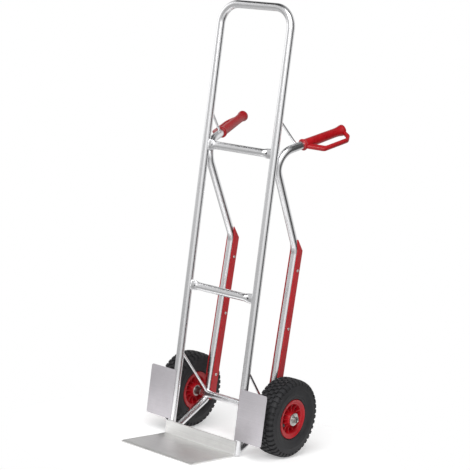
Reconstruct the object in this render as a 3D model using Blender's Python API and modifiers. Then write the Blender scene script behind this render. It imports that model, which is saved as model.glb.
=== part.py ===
"""Two-wheeled aluminium hand truck with loop frame, stair skids and knuckle-guard grips.

The object's own frame: +X is the truck's right as seen from behind, the toe plate
points to -Y, +Z is up and the floor is Z = 0. Lengths are in metres.
"""

import math

import bmesh
import bpy
from mathutils import Matrix, Vector

# ---------------------------------------------------------------- driving dimensions

GAP = 0.0003                      # clearance between pieces that touch or are welded
SIDES = (("left", -1), ("right", 1))

# Wheels: 260 x 85 mm pneumatic tyres on two-part plastic rims, 20 mm axle.
WHEEL_RADIUS = 0.130
TYRE_HALF_WIDTH = 0.0425
WHEEL_X = 0.2074
AXLE_Y = 0.127
AXLE_Z = WHEEL_RADIUS
AXLE_RADIUS = 0.010
AXLE_HALF_LENGTH = 0.258

# Tubes of the frame: 26 mm aluminium tube.
TUBE_RADIUS = 0.013
TUBE_WALL = 0.002
HALF_SPACING = 0.1417             # from the middle to a side tube of the loop
LOOP_Y = -0.023
LOOP_TOP = 1.442
LOOP_FOOT = 0.004
LOOP_CORNER_RADIUS = 0.065
LOWER_CROSS_Z = 0.513
UPPER_CROSS_Z = 0.981
CROSS_END_HEIGHT = 0.0165         # half height of a squeezed end
CROSS_END_DEPTH = 0.0048          # half depth of a squeezed end
VENT_RADIUS = 0.003
VENT_INSET = 0.016                # from the end of a cross tube to its vent hole

# Rear tubes: one bent tube a side, from the loop's foot round the axle up to the grip.
FOOT_WELD = Vector((HALF_SPACING, LOOP_Y, 0.0097))
AXLE_BEND = Vector((0.1350, 0.1414, 0.1145))
AXLE_BEND_RADIUS = 0.040
REAR_BEND = Vector((0.1355, 0.165, 0.676))
REAR_BEND_RADIUS = 0.065
HANDLE_BEND = Vector((HALF_SPACING, -0.0265, 0.978))
HANDLE_BEND_RADIUS = 0.060
GRIP_TIP = Vector((0.209, 0.239, 1.082))
GRIP_LENGTH = 0.175

# Grips: plastic sleeves with a guard loop in front of the knuckles.
GRIP_RADIUS = 0.0158
GRIP_FLANGE_RADIUS = 0.0190
GRIP_BORE_RADIUS = TUBE_RADIUS + GAP
GRIP_END_WALL = 0.004
GUARD_TILT = math.radians(23.3)   # the guard loop points this far below horizontal
GUARD_REACH = 0.061               # from the grip's axis to the loop's outer edge
GUARD_BAR = 0.0125

# Skids: plastic channels that wrap the rear tubes from behind.
SKID_FOOT_Z = 0.110
SKID_TIP_Z = 0.708
SKID_HALF_WIDTH = 0.016
SKID_WALL = 0.002
SKID_WEB = 0.0025
SKID_FRONT = -0.007               # flange edge, measured from the rear tube's axis
SKID_BACK = 0.024                 # back of the web, measured from the rear tube's axis
SKID_RIVET_HEIGHTS = (0.196, 0.410, 0.605)
SKID_RIVET_OFFSET = 0.009
RIVET_RADIUS = 0.0024

# Bracing rods.
BRACE_RADIUS = 0.004
BRACE_TOP = Vector((0.1425, -0.012, 1.087))
BRACE_FOOT = Vector((0.1585, 0.064, 1.018))
STRUT_RADIUS = 0.0045
STRUT_TOP = Vector((0.1400, -0.014, 0.279))
STRUT_FOOT = Vector((0.1300, 0.124, 0.140))

# Axle tube and what holds the wheels on the axle.
AXLE_TUBE_RADIUS = 0.0125
AXLE_TUBE_BORE = 0.0104
AXLE_TUBE_HALF_LENGTH = 0.1475
HUB_HALF_LENGTH = 0.0365
WASHER_RADIUS = 0.021
WASHER_THICKNESS = 0.003
COTTER_RADIUS = 0.0019
COTTER_X = 0.2520

# Sheet parts.
TOE_HALF_WIDTH = 0.1495
TOE_FRONT_Y = -0.257
TOE_THICKNESS = 0.007
TOE_BEND_RADIUS = 0.008
UPSTAND_TOP = 0.051
WHEEL_GUARD_INNER_X = 0.1375
WHEEL_GUARD_OUTER_X = 0.2463
WHEEL_GUARD_BOTTOM = 0.0545
WHEEL_GUARD_TOP = 0.222
WHEEL_GUARD_THICKNESS = 0.0015
WHEEL_GUARD_CORNER = 0.007

# Rims, bolts, hubs and valves, measured from the wheel's middle plane.
RIM_BOLT_CIRCLE = 0.0345
RIM_BOLT_RADIUS = 0.003
RIM_BOLT_COUNT = 4
RIM_BOLT_START = math.radians(45)
RIM_WEB = 0.0042
HUB_SLEEVE_RADIUS = 0.018
HUB_SLEEVE_BORE = 0.0152
ROLLER_COUNT = 9
ROLLER_RADIUS = 0.0021
ROLLER_CIRCLE = 0.01265
CAGE_HALF_LENGTH = 0.032
CAGE_RING = 0.004
VALVE_ANGLE = math.radians(-60)   # about the axle, from straight down towards the back
VALVE_TILT = math.radians(35)     # the stem leans outwards by this angle
VALVE_RADIUS = 0.0042
VALVE_BORE = 0.0014

PARTS = None
CUTTERS = None


# ---------------------------------------------------------------- scene and materials

def start_scene():
    """Empty the scene and make the two collections."""
    global PARTS, CUTTERS
    for item in list(bpy.data.objects):
        bpy.data.objects.remove(item, do_unlink=True)
    PARTS = bpy.data.collections.new("hand_truck")
    CUTTERS = bpy.data.collections.new("cutters")
    bpy.context.scene.collection.children.link(PARTS)
    bpy.context.scene.collection.children.link(CUTTERS)


def material(name, colour, roughness, metallic):
    """A Principled BSDF material."""
    made = bpy.data.materials.new(name)
    made.use_nodes = True
    shader = made.node_tree.nodes["Principled BSDF"]
    shader.inputs["Base Color"].default_value = (*colour, 1.0)
    shader.inputs["Roughness"].default_value = roughness
    shader.inputs["Metallic"].default_value = metallic
    return made


def make_materials():
    """The finishes of the pieces."""
    return {
        "tube": material("tube_aluminium", (0.80, 0.80, 0.81), 0.28, 1.0),
        "sheet": material("sheet_aluminium", (0.66, 0.66, 0.68), 0.45, 1.0),
        "red": material("red_plastic", (0.50, 0.02, 0.03), 0.35, 0.0),
        "tyre": material("tyre_rubber", (0.025, 0.025, 0.027), 0.80, 0.0),
        "inner": material("butyl_rubber", (0.04, 0.04, 0.045), 0.60, 0.0),
        "steel": material("zinc_plated_steel", (0.72, 0.72, 0.70), 0.35, 1.0),
        "black": material("black_plastic", (0.03, 0.03, 0.03), 0.50, 0.0),
    }


# ---------------------------------------------------------------- modelling helpers

def place(name, mesh, finish, matrix=None, parent=None):
    """Put a mesh in the parts collection as one named object."""
    made = bpy.data.objects.new(name, mesh)
    mesh.materials.clear()
    mesh.materials.append(finish)
    PARTS.objects.link(made)
    made.parent = parent
    made.matrix_local = matrix or Matrix.Identity(4)
    mesh.shade_smooth()
    mesh.set_sharp_from_angle(angle=math.radians(35))
    return made


def cutter(name, mesh, matrix=None, parent=None):
    """Put a mesh in the cutters collection."""
    made = bpy.data.objects.new(name, mesh)
    CUTTERS.objects.link(made)
    made.parent = parent
    made.matrix_local = matrix or Matrix.Identity(4)
    made.hide_render = True
    made.display_type = "WIRE"
    return made


def boolean(target, tool, operation="DIFFERENCE"):
    """Cut a piece with a tool, or join the tool to it."""
    modifier = target.modifiers.new(tool.name, "BOOLEAN")
    modifier.operation = operation
    modifier.object = tool


def solidify(target, thickness, offset=-1.0):
    """Give an open surface its wall."""
    modifier = target.modifiers.new("wall", "SOLIDIFY")
    modifier.thickness = thickness
    modifier.offset = offset
    modifier.use_even_offset = True


def bevel(target, width, segments=1, angle=60):
    """Round a piece's sharp edges."""
    modifier = target.modifiers.new("rounding", "BEVEL")
    modifier.width = width
    modifier.segments = segments
    modifier.limit_method = "ANGLE"
    modifier.angle_limit = math.radians(angle)


def axis_matrix(origin, axis, start):
    """A frame whose Z runs along axis and whose X is start made square to it."""
    z_axis = Vector(axis).normalized()
    x_axis = Vector(start) - z_axis * z_axis.dot(Vector(start))
    x_axis.normalize()
    y_axis = z_axis.cross(x_axis)
    turned_frame = Matrix((x_axis, y_axis, z_axis)).transposed().to_4x4()
    return Matrix.Translation(origin) @ turned_frame


def cylinder_mesh(name, radius, length, sides, tip_radius=None):
    """A cylinder or cone along Z, centred on its origin."""
    mesh = bpy.data.meshes.new(name)
    work = bmesh.new()
    bmesh.ops.create_cone(
        work, cap_ends=True, segments=sides, radius1=radius,
        radius2=radius if tip_radius is None else tip_radius, depth=length)
    work.to_mesh(mesh)
    work.free()
    return mesh


def mesh_of_curve(curve):
    """Turn a curve's evaluated shape into a welded mesh and remove the curve."""
    guide = bpy.data.objects.new(curve.name, curve)
    bpy.context.scene.collection.objects.link(guide)
    bpy.context.view_layer.update()
    depsgraph = bpy.context.evaluated_depsgraph_get()
    mesh = bpy.data.meshes.new_from_object(guide.evaluated_get(depsgraph))
    bpy.data.objects.remove(guide, do_unlink=True)
    work = bmesh.new()
    work.from_mesh(mesh)
    bmesh.ops.remove_doubles(work, verts=work.verts, dist=0.00001)
    bmesh.ops.recalc_face_normals(work, faces=work.faces)
    work.to_mesh(mesh)
    work.free()
    return mesh


def tube_mesh(name, points, radius, resolution, capped):
    """A round tube's skin, or a solid rod when capped, along a list of points."""
    curve = bpy.data.curves.new(name, "CURVE")
    curve.dimensions = "3D"
    curve.bevel_depth = radius
    curve.bevel_resolution = resolution
    curve.use_fill_caps = capped
    spline = curve.splines.new("POLY")
    spline.points.add(len(points) - 1)
    for knot, point in zip(spline.points, points):
        knot.co = (*point, 1.0)
    return mesh_of_curve(curve)


def plate_mesh(name, outlines, thickness):
    """A flat plate in its XY plane, from an outline and any holes in it."""
    curve = bpy.data.curves.new(name, "CURVE")
    curve.dimensions = "2D"
    curve.fill_mode = "BOTH"
    curve.extrude = thickness / 2
    for outline in outlines:
        spline = curve.splines.new("POLY")
        spline.points.add(len(outline) - 1)
        spline.use_cyclic_u = True
        for knot, (across, up) in zip(spline.points, outline):
            knot.co = (across, up, 0.0, 1.0)
    return mesh_of_curve(curve)


def turned(name, profile, steps, finish, matrix=None, parent=None, closed=True):
    """A turned piece: a profile of (radius, height) swept round local Z."""
    mesh = bpy.data.meshes.new(name)
    corners = [(radius, 0.0, height) for radius, height in profile]
    edges = [(index, index + 1) for index in range(len(corners) - 1)]
    if closed:
        edges.append((len(corners) - 1, 0))
    mesh.from_pydata(corners, edges, [])
    made = place(name, mesh, finish, matrix, parent)
    modifier = made.modifiers.new("turn", "SCREW")
    modifier.steps = steps
    modifier.render_steps = steps
    modifier.use_merge_vertices = True
    modifier.merge_threshold = 0.00001
    modifier.use_smooth_shade = True
    return made


def bent_path(corners, radii, steps):
    """Points along straight runs joined by arcs of the given radii."""
    points = [corners[0]]
    for index, radius in enumerate(radii, start=1):
        corner = corners[index]
        back = (corners[index - 1] - corner).normalized()
        ahead = (corners[index + 1] - corner).normalized()
        half = back.angle(ahead) / 2
        centre = corner + (back + ahead).normalized() * (radius / math.sin(half))
        first = corner + back * (radius / math.tan(half)) - centre
        last = corner + ahead * (radius / math.tan(half)) - centre
        axis = first.cross(last)
        sweep = first.angle(last)
        for step in range(steps + 1):
            turn = Matrix.Rotation(sweep * step / steps, 3, axis)
            points.append(centre + turn @ first)
    points.append(corners[-1])
    return points


def rounded_outline(corners, radii, steps):
    """A closed flat outline whose corners are arcs; a radius of 0 stays sharp."""
    outline = []
    count = len(corners)
    for index, (corner, radius) in enumerate(zip(corners, radii)):
        if radius == 0:
            outline.append(corner)
            continue
        before = Vector((*corners[index - 1], 0.0))
        after = Vector((*corners[(index + 1) % count], 0.0))
        arc = bent_path([before, Vector((*corner, 0.0)), after], [radius], steps)
        outline.extend((point.x, point.y) for point in arc[1:-1])
    return outline


def mirrored(point, side):
    """The point on the given side of the truck."""
    return Vector((point.x * side, point.y, point.z))


def rear_tube_y(height):
    """Y of the lower rear tube's axis at a height."""
    share = (height - AXLE_BEND.z) / (REAR_BEND.z - AXLE_BEND.z)
    return AXLE_BEND.y + (REAR_BEND.y - AXLE_BEND.y) * share


def handle_axis(side):
    """The grip's tip and the direction from the tube's bend to that tip."""
    tip = mirrored(GRIP_TIP, side)
    return tip, (tip - mirrored(HANDLE_BEND, side)).normalized()


# ---------------------------------------------------------------- frame tubes

def loop_cutter(name, side, margin=GAP):
    """The room a side tube of the loop takes."""
    mesh = cylinder_mesh(name, TUBE_RADIUS + margin, 1.6, 32)
    return cutter(name, mesh, Matrix.Translation((side * HALF_SPACING, LOOP_Y, 0.7)))


def axle_cutter(name, margin):
    """The room the axle tube takes."""
    mesh = cylinder_mesh(name, AXLE_TUBE_RADIUS + margin, 0.6, 32)
    return cutter(name, mesh, axis_matrix((0, AXLE_Y, AXLE_Z), (1, 0, 0), (0, 0, -1)))


def make_main_loop(finish):
    """The inverted-U tube that carries the load and is held at the top."""
    corners = [
        Vector((-HALF_SPACING, LOOP_Y, LOOP_FOOT)),
        Vector((-HALF_SPACING, LOOP_Y, LOOP_TOP)),
        Vector((HALF_SPACING, LOOP_Y, LOOP_TOP)),
        Vector((HALF_SPACING, LOOP_Y, LOOP_FOOT)),
    ]
    path = bent_path(corners, [LOOP_CORNER_RADIUS] * 2, 6)
    mesh = tube_mesh("main_loop_path", path, TUBE_RADIUS, 5, capped=False)
    solidify(place("main_loop_tube", mesh, finish), TUBE_WALL)


def cross_tube_section(position, half_length):
    """Half height and half depth of a cross tube at a distance from its middle."""
    squeeze_length = 0.045
    share = (abs(position) - (half_length - squeeze_length)) / squeeze_length
    share = max(0.0, share)
    share = share * share * (3 - 2 * share)
    height = TUBE_RADIUS + (CROSS_END_HEIGHT - TUBE_RADIUS) * share
    depth = TUBE_RADIUS + (CROSS_END_DEPTH - TUBE_RADIUS) * share
    return height, depth


def cross_tube_rings(work, height, wall, sides):
    """Oval rings of vertices from one end of a cross tube to the other."""
    rings = []
    for station in (-1.0, -0.92, -0.84, -0.76, -0.68, 0.68, 0.76, 0.84, 0.92, 1.0):
        position = station * HALF_SPACING
        half_height, half_depth = cross_tube_section(position, HALF_SPACING)
        if wall:
            half_height -= wall + 0.6 * (half_height - TUBE_RADIUS)
            half_depth -= wall
        ring = bmesh.ops.create_circle(work, cap_ends=False, radius=1.0, segments=sides)["verts"]
        squash = Matrix.Diagonal((half_height, half_depth, 1.0, 1.0))
        turn = axis_matrix((position, LOOP_Y, height), (1, 0, 0), (0, 0, -1))
        bmesh.ops.transform(work, matrix=turn @ squash, verts=ring)
        rings.append(ring)
    return rings


def make_cross_tube(name, height, finish, rooms):
    """A tube between the loop's sides, its ends squeezed flat and vented."""
    sides = 14
    work = bmesh.new()
    outer = cross_tube_rings(work, height, 0.0, sides)
    inner = cross_tube_rings(work, height, TUBE_WALL, sides)
    around = outer + inner[::-1] + outer[:1]
    for near, far in zip(around, around[1:]):
        for index in range(sides):
            after = (index + 1) % sides
            work.faces.new((near[index], near[after], far[after], far[index]))
    bmesh.ops.recalc_face_normals(work, faces=work.faces)
    bmesh.ops.triangulate(work, faces=work.faces)
    mesh = bpy.data.meshes.new(name)
    work.to_mesh(mesh)
    work.free()
    made = place(name, mesh, finish)
    for room in rooms:
        boolean(made, room)
    for side_name, side in SIDES:
        vent = cylinder_mesh(f"{name}_vent_{side_name}", VENT_RADIUS, 0.06, 10)
        vent_x = side * (HALF_SPACING - TUBE_RADIUS - VENT_INSET)
        along_y = axis_matrix((vent_x, LOOP_Y, height), (0, 1, 0), (1, 0, 0.23))
        boolean(made, cutter(f"{name}_vent_{side_name}", vent, along_y))


def rivet_matrix(side, height):
    """Where a skid rivet goes through: its axis runs along X through the rear tube."""
    centre = (side * AXLE_BEND.x, rear_tube_y(height) + SKID_RIVET_OFFSET, height)
    return axis_matrix(centre, (side, 0, 0), (0, 0, -1))


def make_rear_tube(side_name, side, finish, rooms):
    """The bent tube from the loop's foot, round the axle tube, up into the grip."""
    tip, direction = handle_axis(side)
    corners = [
        tip - direction * (GRIP_END_WALL + 0.004),
        mirrored(HANDLE_BEND, side),
        mirrored(REAR_BEND, side),
        mirrored(AXLE_BEND, side),
        mirrored(FOOT_WELD, side),
    ]
    path = bent_path(corners, [HANDLE_BEND_RADIUS, REAR_BEND_RADIUS, AXLE_BEND_RADIUS], 5)
    mesh = tube_mesh("rear_path_" + side_name, path, TUBE_RADIUS, 5, capped=False)
    made = place("rear_tube_" + side_name, mesh, finish)
    solidify(made, TUBE_WALL)
    for room in rooms:
        boolean(made, room)


def make_axle_tube(finish):
    """The tube that the axle rod runs through."""
    half = AXLE_TUBE_HALF_LENGTH
    profile = [(AXLE_TUBE_RADIUS, half), (AXLE_TUBE_RADIUS, -half),
               (AXLE_TUBE_BORE, -half), (AXLE_TUBE_BORE, half)]
    along_x = axis_matrix((0, AXLE_Y, AXLE_Z), (1, 0, 0), (0, 0, -1))
    turned("axle_tube", profile, 24, finish, along_x)


def make_rod(name, start, end, radius, finish, rooms):
    """A solid bracing rod, its ends shaped to the tubes they are welded to."""
    mesh = tube_mesh(name + "_line", [start, end], radius, 3, capped=True)
    made = place(name, mesh, finish)
    for room in rooms:
        boolean(made, room)


def make_handle_brace(side_name, side, finish, loop_room):
    """The thin rod that holds the handle up from the loop."""
    tip, direction = handle_axis(side)
    mesh = cylinder_mesh("handle_room_" + side_name, TUBE_RADIUS + GAP, 0.3, 32)
    centre = tip - direction * 0.2
    room = cutter("handle_room_" + side_name, mesh, axis_matrix(centre, direction, (0, 0, -1)))
    make_rod("handle_brace_" + side_name, mirrored(BRACE_TOP, side), mirrored(BRACE_FOOT, side),
             BRACE_RADIUS, finish, (loop_room, room))


def make_axle_strut(side_name, side, finish, loop_room, axle_room):
    """The rod from the loop down to the axle tube."""
    make_rod("axle_strut_" + side_name, mirrored(STRUT_TOP, side), mirrored(STRUT_FOOT, side),
             STRUT_RADIUS, finish, (loop_room, axle_room))


# ---------------------------------------------------------------- sheet parts

def make_toe_plate(finish):
    """The load plate: a blade on the floor, bent up into an upstand behind it."""
    half = TOE_THICKNESS / 2
    heel_y = LOOP_Y - TUBE_RADIUS - GAP - half
    line = bent_path(
        [Vector((0, TOE_FRONT_Y, half)), Vector((0, heel_y, half)), Vector((0, heel_y, UPSTAND_TOP))],
        [TOE_BEND_RADIUS], 5)
    work = bmesh.new()
    knots = [work.verts.new((-TOE_HALF_WIDTH, point.y, point.z)) for point in line]
    edges = [work.edges.new(pair) for pair in zip(knots, knots[1:])]
    swept = bmesh.ops.extrude_edge_only(work, edges=edges)["geom"]
    moved = [item for item in swept if isinstance(item, bmesh.types.BMVert)]
    bmesh.ops.translate(work, vec=(2 * TOE_HALF_WIDTH, 0, 0), verts=moved)
    bmesh.ops.recalc_face_normals(work, faces=work.faces)
    mesh = bpy.data.meshes.new("toe_plate")
    work.to_mesh(mesh)
    work.free()
    made = place("toe_plate", mesh, finish)
    solidify(made, TOE_THICKNESS, offset=0.0)
    bevel(made, 0.001)


def make_wheel_guard(side_name, side, finish):
    """The flat plate in front of a wheel, welded to the front of the loop."""
    left, right = sorted((side * WHEEL_GUARD_INNER_X, side * WHEEL_GUARD_OUTER_X))
    corners = [(left, WHEEL_GUARD_BOTTOM), (right, WHEEL_GUARD_BOTTOM),
               (right, WHEEL_GUARD_TOP), (left, WHEEL_GUARD_TOP)]
    radii = [WHEEL_GUARD_CORNER if abs(across) > 0.2 else 0 for across, _ in corners]
    outline = rounded_outline(corners, radii, 5)
    mesh = plate_mesh("wheel_guard_" + side_name, [outline], WHEEL_GUARD_THICKNESS)
    middle_y = LOOP_Y - TUBE_RADIUS - GAP - WHEEL_GUARD_THICKNESS / 2
    upright = Matrix.Translation((0, middle_y, 0)) @ Matrix.Rotation(math.pi / 2, 4, "X")
    place("wheel_guard_" + side_name, mesh, finish, upright)


# ---------------------------------------------------------------- plastic parts

def make_grip(side_name, side, finish):
    """A sleeve over the handle tube, closed at its end, with its knuckle guard."""
    tip, direction = handle_axis(side)
    root = tip - direction * GRIP_LENGTH
    length = GRIP_LENGTH
    profile = [
        (GRIP_BORE_RADIUS, 0.0),
        (GRIP_BORE_RADIUS, length - GRIP_END_WALL),
        (0.0, length - GRIP_END_WALL),
        (0.0, length),
        (GRIP_FLANGE_RADIUS - 0.005, length),
        (GRIP_FLANGE_RADIUS - 0.0015, length - 0.003),
        (GRIP_FLANGE_RADIUS - 0.0015, length - 0.008),
        (GRIP_RADIUS, length - 0.013),
        (GRIP_RADIUS, 0.012),
        (GRIP_FLANGE_RADIUS, 0.006),
        (GRIP_FLANGE_RADIUS, 0.0),
    ]
    bore, solid = profile[:2], profile[2:]
    made = turned("grip_" + side_name, bore + solid, 20, finish,
                  axis_matrix(root, direction, (0, 0, -1)))
    level_out = Vector((direction.y, -direction.x, 0.0)).normalized() * side
    upward = level_out.cross(direction) * side
    outward = level_out * math.cos(GUARD_TILT) - upward * math.sin(GUARD_TILT)
    inner = GUARD_REACH - 0.0135
    seat = (GRIP_BORE_RADIUS + GRIP_RADIUS) / 2 - 0.0005
    corners = [
        (0.002, seat), (0.007, 0.021), (0.044, GUARD_REACH), (0.147, GUARD_REACH),
        (0.1685, 0.042), (0.173, seat), (0.162, seat), (0.157, 0.036),
        (0.146, inner), (0.058, inner), (0.036, 0.024), (0.024, seat),
    ]
    radii = [0, 0.004, 0.018, 0.020, 0.016, 0, 0, 0.008, 0.008, 0.012, 0.012, 0]
    mesh = plate_mesh("guard_" + side_name, [rounded_outline(corners, radii, 3)], GUARD_BAR)
    flat = Matrix((direction, outward, direction.cross(outward))).transposed().to_4x4()
    guard = cutter("guard_" + side_name, mesh, Matrix.Translation(root) @ flat)
    bevel(guard, 0.0025, angle=70)
    boolean(made, guard, "UNION")


def skid_outline():
    """The skid's side view as (Y, Z) points, foot to tip and back down."""
    foot_y = rear_tube_y(SKID_FOOT_Z)
    bend_y, bend_z = REAR_BEND.y, REAR_BEND.z
    return [
        (foot_y + SKID_FRONT, SKID_FOOT_Z),
        (foot_y + SKID_BACK, SKID_FOOT_Z),
        (bend_y + SKID_BACK - 0.003, bend_z - 0.004),
        (bend_y - 0.0115, SKID_TIP_Z + 0.001),
        (bend_y - 0.0155, SKID_TIP_Z),
        (bend_y + SKID_FRONT, bend_z),
    ]


def skid_hollow():
    """The room inside the skid's channel in its side view."""
    foot_y = rear_tube_y(SKID_FOOT_Z - 0.02)
    bend_y, bend_z = REAR_BEND.y, REAR_BEND.z
    inner = SKID_BACK - SKID_WEB
    return [
        (foot_y - 0.03, SKID_FOOT_Z - 0.02),
        (foot_y + inner, SKID_FOOT_Z - 0.02),
        (bend_y + inner - 0.001, bend_z - 0.01),
        (bend_y + inner - 0.001, bend_z + 0.06),
        (bend_y - 0.06, bend_z + 0.06),
    ]


def make_skid(side_name, side, finish, rooms):
    """The channel that lets the truck slide over stair edges."""
    upright = axis_matrix((side * AXLE_BEND.x, 0, 0), (1, 0, 0), (0, 1, 0))
    mesh = plate_mesh("skid_" + side_name, [skid_outline()], 2 * SKID_HALF_WIDTH)
    made = place("skid_" + side_name, mesh, finish, upright)
    room_width = 2 * (SKID_HALF_WIDTH - SKID_WALL)
    room = plate_mesh("skid_room_" + side_name, [skid_hollow()], room_width)
    boolean(made, cutter("skid_room_" + side_name, room, upright))
    for other_room in rooms:
        boolean(made, other_room)


def make_rivet_room(name, side, height):
    """The hole for one skid rivet."""
    mesh = cylinder_mesh(name, RIVET_RADIUS + GAP, 0.06, 12)
    return cutter(name, mesh, rivet_matrix(side, height))


def make_rivet(name, side, height, finish):
    """A through rivet with a domed head on both flanges."""
    seat = SKID_HALF_WIDTH + GAP
    profile = [
        (0.0, seat + 0.0022), (0.0026, seat + 0.0018), (0.0044, seat),
        (RIVET_RADIUS, seat), (RIVET_RADIUS, -seat),
        (0.0044, -seat), (0.0026, -seat - 0.0018), (0.0, -seat - 0.0022),
    ]
    turned(name, profile, 10, finish, rivet_matrix(side, height), closed=False)


# ---------------------------------------------------------------- axle

def make_axle_rod(finish):
    """The steel axle, drilled at both ends for the cotter pins."""
    half = AXLE_HALF_LENGTH
    profile = [(0.0, half), (AXLE_RADIUS - 0.0015, half), (AXLE_RADIUS, half - 0.0015),
               (AXLE_RADIUS, 0.0015 - half), (AXLE_RADIUS - 0.0015, -half), (0.0, -half)]
    along_x = axis_matrix((0, AXLE_Y, AXLE_Z), (1, 0, 0), (0, 0, -1))
    made = turned("axle_rod", profile, 24, finish, along_x, closed=False)
    for side_name, side in SIDES:
        mesh = cylinder_mesh("cotter_hole_" + side_name, COTTER_RADIUS + GAP, 0.05, 12)
        upright = Matrix.Translation((side * COTTER_X, AXLE_Y, AXLE_Z))
        boolean(made, cutter("cotter_hole_" + side_name, mesh, upright))


def make_ring(name, side, near, far, radius, bore, finish):
    """A plain ring on the axle between two distances from the middle."""
    profile = [(radius, far), (radius, near), (bore, near), (bore, far)]
    outward = axis_matrix((0, AXLE_Y, AXLE_Z), (side, 0, 0), (0, 0, -1))
    turned(name, profile, 24, finish, outward)


def make_axle_hardware(side_name, side, finish):
    """Spacer, washer and cotter pin that hold one wheel on the axle."""
    bore = AXLE_RADIUS + GAP
    hub_end = WHEEL_X + HUB_HALF_LENGTH
    make_ring("axle_spacer_" + side_name, side, AXLE_TUBE_HALF_LENGTH + GAP,
              WHEEL_X - HUB_HALF_LENGTH - GAP, 0.0130, bore, finish)
    make_ring("axle_washer_" + side_name, side, hub_end + GAP,
              hub_end + GAP + WASHER_THICKNESS, WASHER_RADIUS, bore, finish)
    eye = 0.0045
    corners = [
        Vector((side * COTTER_X, AXLE_Y, AXLE_Z - AXLE_RADIUS - 0.0065)),
        Vector((side * COTTER_X, AXLE_Y, AXLE_Z + AXLE_RADIUS + 0.0075)),
    ]
    eye_middle = corners[1] + Vector((0, eye, 0))
    for step in range(1, 8):
        angle = math.pi - math.radians(38) * step
        corners.append(eye_middle + Vector((0, math.cos(angle), math.sin(angle))) * eye)
    mesh = tube_mesh("cotter_line_" + side_name, corners, COTTER_RADIUS, 2, capped=True)
    place("cotter_pin_" + side_name, mesh, finish)


# ---------------------------------------------------------------- wheels

def make_tyre(side_name, finish, hub):
    """The tyre's carcass, open towards the rim."""
    outer = [
        (0.0515, 0.0262), (0.0655, 0.0262), (0.0680, 0.0340), (0.0960, TYRE_HALF_WIDTH),
        (0.1185, 0.0400), (0.1270, 0.0310), (WHEEL_RADIUS, 0.0),
    ]
    inner = [(0.1185, 0.0), (0.1140, 0.0260), (0.0980, 0.0350), (0.0690, 0.0250),
             (0.0515, 0.0185)]
    upper = outer + inner
    lower = [(radius, -height) for radius, height in upper if height > 0]
    profile = outer + lower[len(outer) - 2::-1] + lower[len(outer) - 1:][::-1] + inner
    turned("tyre_" + side_name, profile, 32, finish, parent=hub)


def valve_matrix(side):
    """The valve stem's line: from inside the inner tube, inwards and outwards."""
    radial = Vector((math.cos(VALVE_ANGLE), math.sin(VALVE_ANGLE) * side, 0.0))
    line = -radial * math.cos(VALVE_TILT) + Vector((0, 0, 1)) * math.sin(VALVE_TILT)
    return axis_matrix(radial * 0.0700, line, (0, 0, 1))


def torus_mesh(name, middle, half_height, half_width, around, section):
    """A ring of oval section round Z."""
    bpy.ops.mesh.primitive_torus_add(
        major_radius=middle, minor_radius=half_height,
        major_segments=around, minor_segments=section)
    ring = bpy.context.object
    mesh = ring.data
    mesh.name = name
    mesh.transform(Matrix.Diagonal((1.0, 1.0, half_width / half_height, 1.0)))
    bpy.data.objects.remove(ring, do_unlink=True)
    return mesh


def make_inner_tube(side_name, finish, hub, frame):
    """The air tube with its valve stem; the stem's bore opens into the tube."""
    mesh = torus_mesh("inner_tube_" + side_name, 0.0910, 0.0225, 0.0260, 24, 8)
    made = place("inner_tube_" + side_name, mesh, finish, parent=hub)
    stem = cylinder_mesh("valve_stem_" + side_name, VALVE_RADIUS, 0.040, 12)
    stem_place = frame @ Matrix.Translation((0, 0, 0.018))
    boolean(made, cutter("valve_stem_" + side_name, stem, stem_place, hub), "UNION")
    air = torus_mesh("air_" + side_name, 0.0910, 0.0205, 0.0240, 24, 8)
    boolean(made, cutter("air_" + side_name, air, parent=hub))
    bore = cylinder_mesh("valve_bore_" + side_name, VALVE_BORE, 0.060, 8)
    bore_place = frame @ Matrix.Translation((0, 0, 0.020))
    boolean(made, cutter("valve_bore_" + side_name, bore, bore_place, hub))


def make_valve_cap(side_name, finish, hub, frame):
    """The cap over the end of the valve stem."""
    end = 0.038
    profile = [(0.0, end + 0.0045), (0.0050, end + 0.0045), (0.0058, end + 0.0035),
               (0.0058, end - 0.007), (VALVE_RADIUS + GAP, end - 0.007),
               (VALVE_RADIUS + GAP, end + GAP), (0.0, end + GAP)]
    turned("valve_cap_" + side_name, profile, 12, finish, frame, hub, closed=False)


def rim_profile():
    """Section of one rim half as (radius, height) from the wheel's middle plane."""
    bore = HUB_SLEEVE_RADIUS + GAP
    split = GAP / 2
    return [
        (0.0653, 0.0345), (0.0653, 0.0290), (0.0630, 0.0266), (0.0512, 0.0266),
        (0.0490, split), (bore, split), (bore, 0.0340), (0.0235, 0.0340),
        (0.0245, RIM_WEB), (0.0450, RIM_WEB), (0.0470, 0.0240), (0.0560, 0.0300),
        (0.0625, 0.0345),
    ]


def bolt_places():
    """Centres of the rim bolts in the wheel's middle plane."""
    for index in range(RIM_BOLT_COUNT):
        angle = RIM_BOLT_START + index * math.tau / RIM_BOLT_COUNT
        yield Vector((math.cos(angle), math.sin(angle), 0.0)) * RIM_BOLT_CIRCLE


def make_rim_half(name, finish, hub, outside, rooms):
    """One half of the two-part rim; the halves meet on the wheel's middle plane."""
    matrix = Matrix.Identity(4) if outside else Matrix.Rotation(math.pi, 4, "X")
    made = turned(name, rim_profile(), 24, finish, matrix, hub)
    for room in rooms:
        boolean(made, room)


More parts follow.
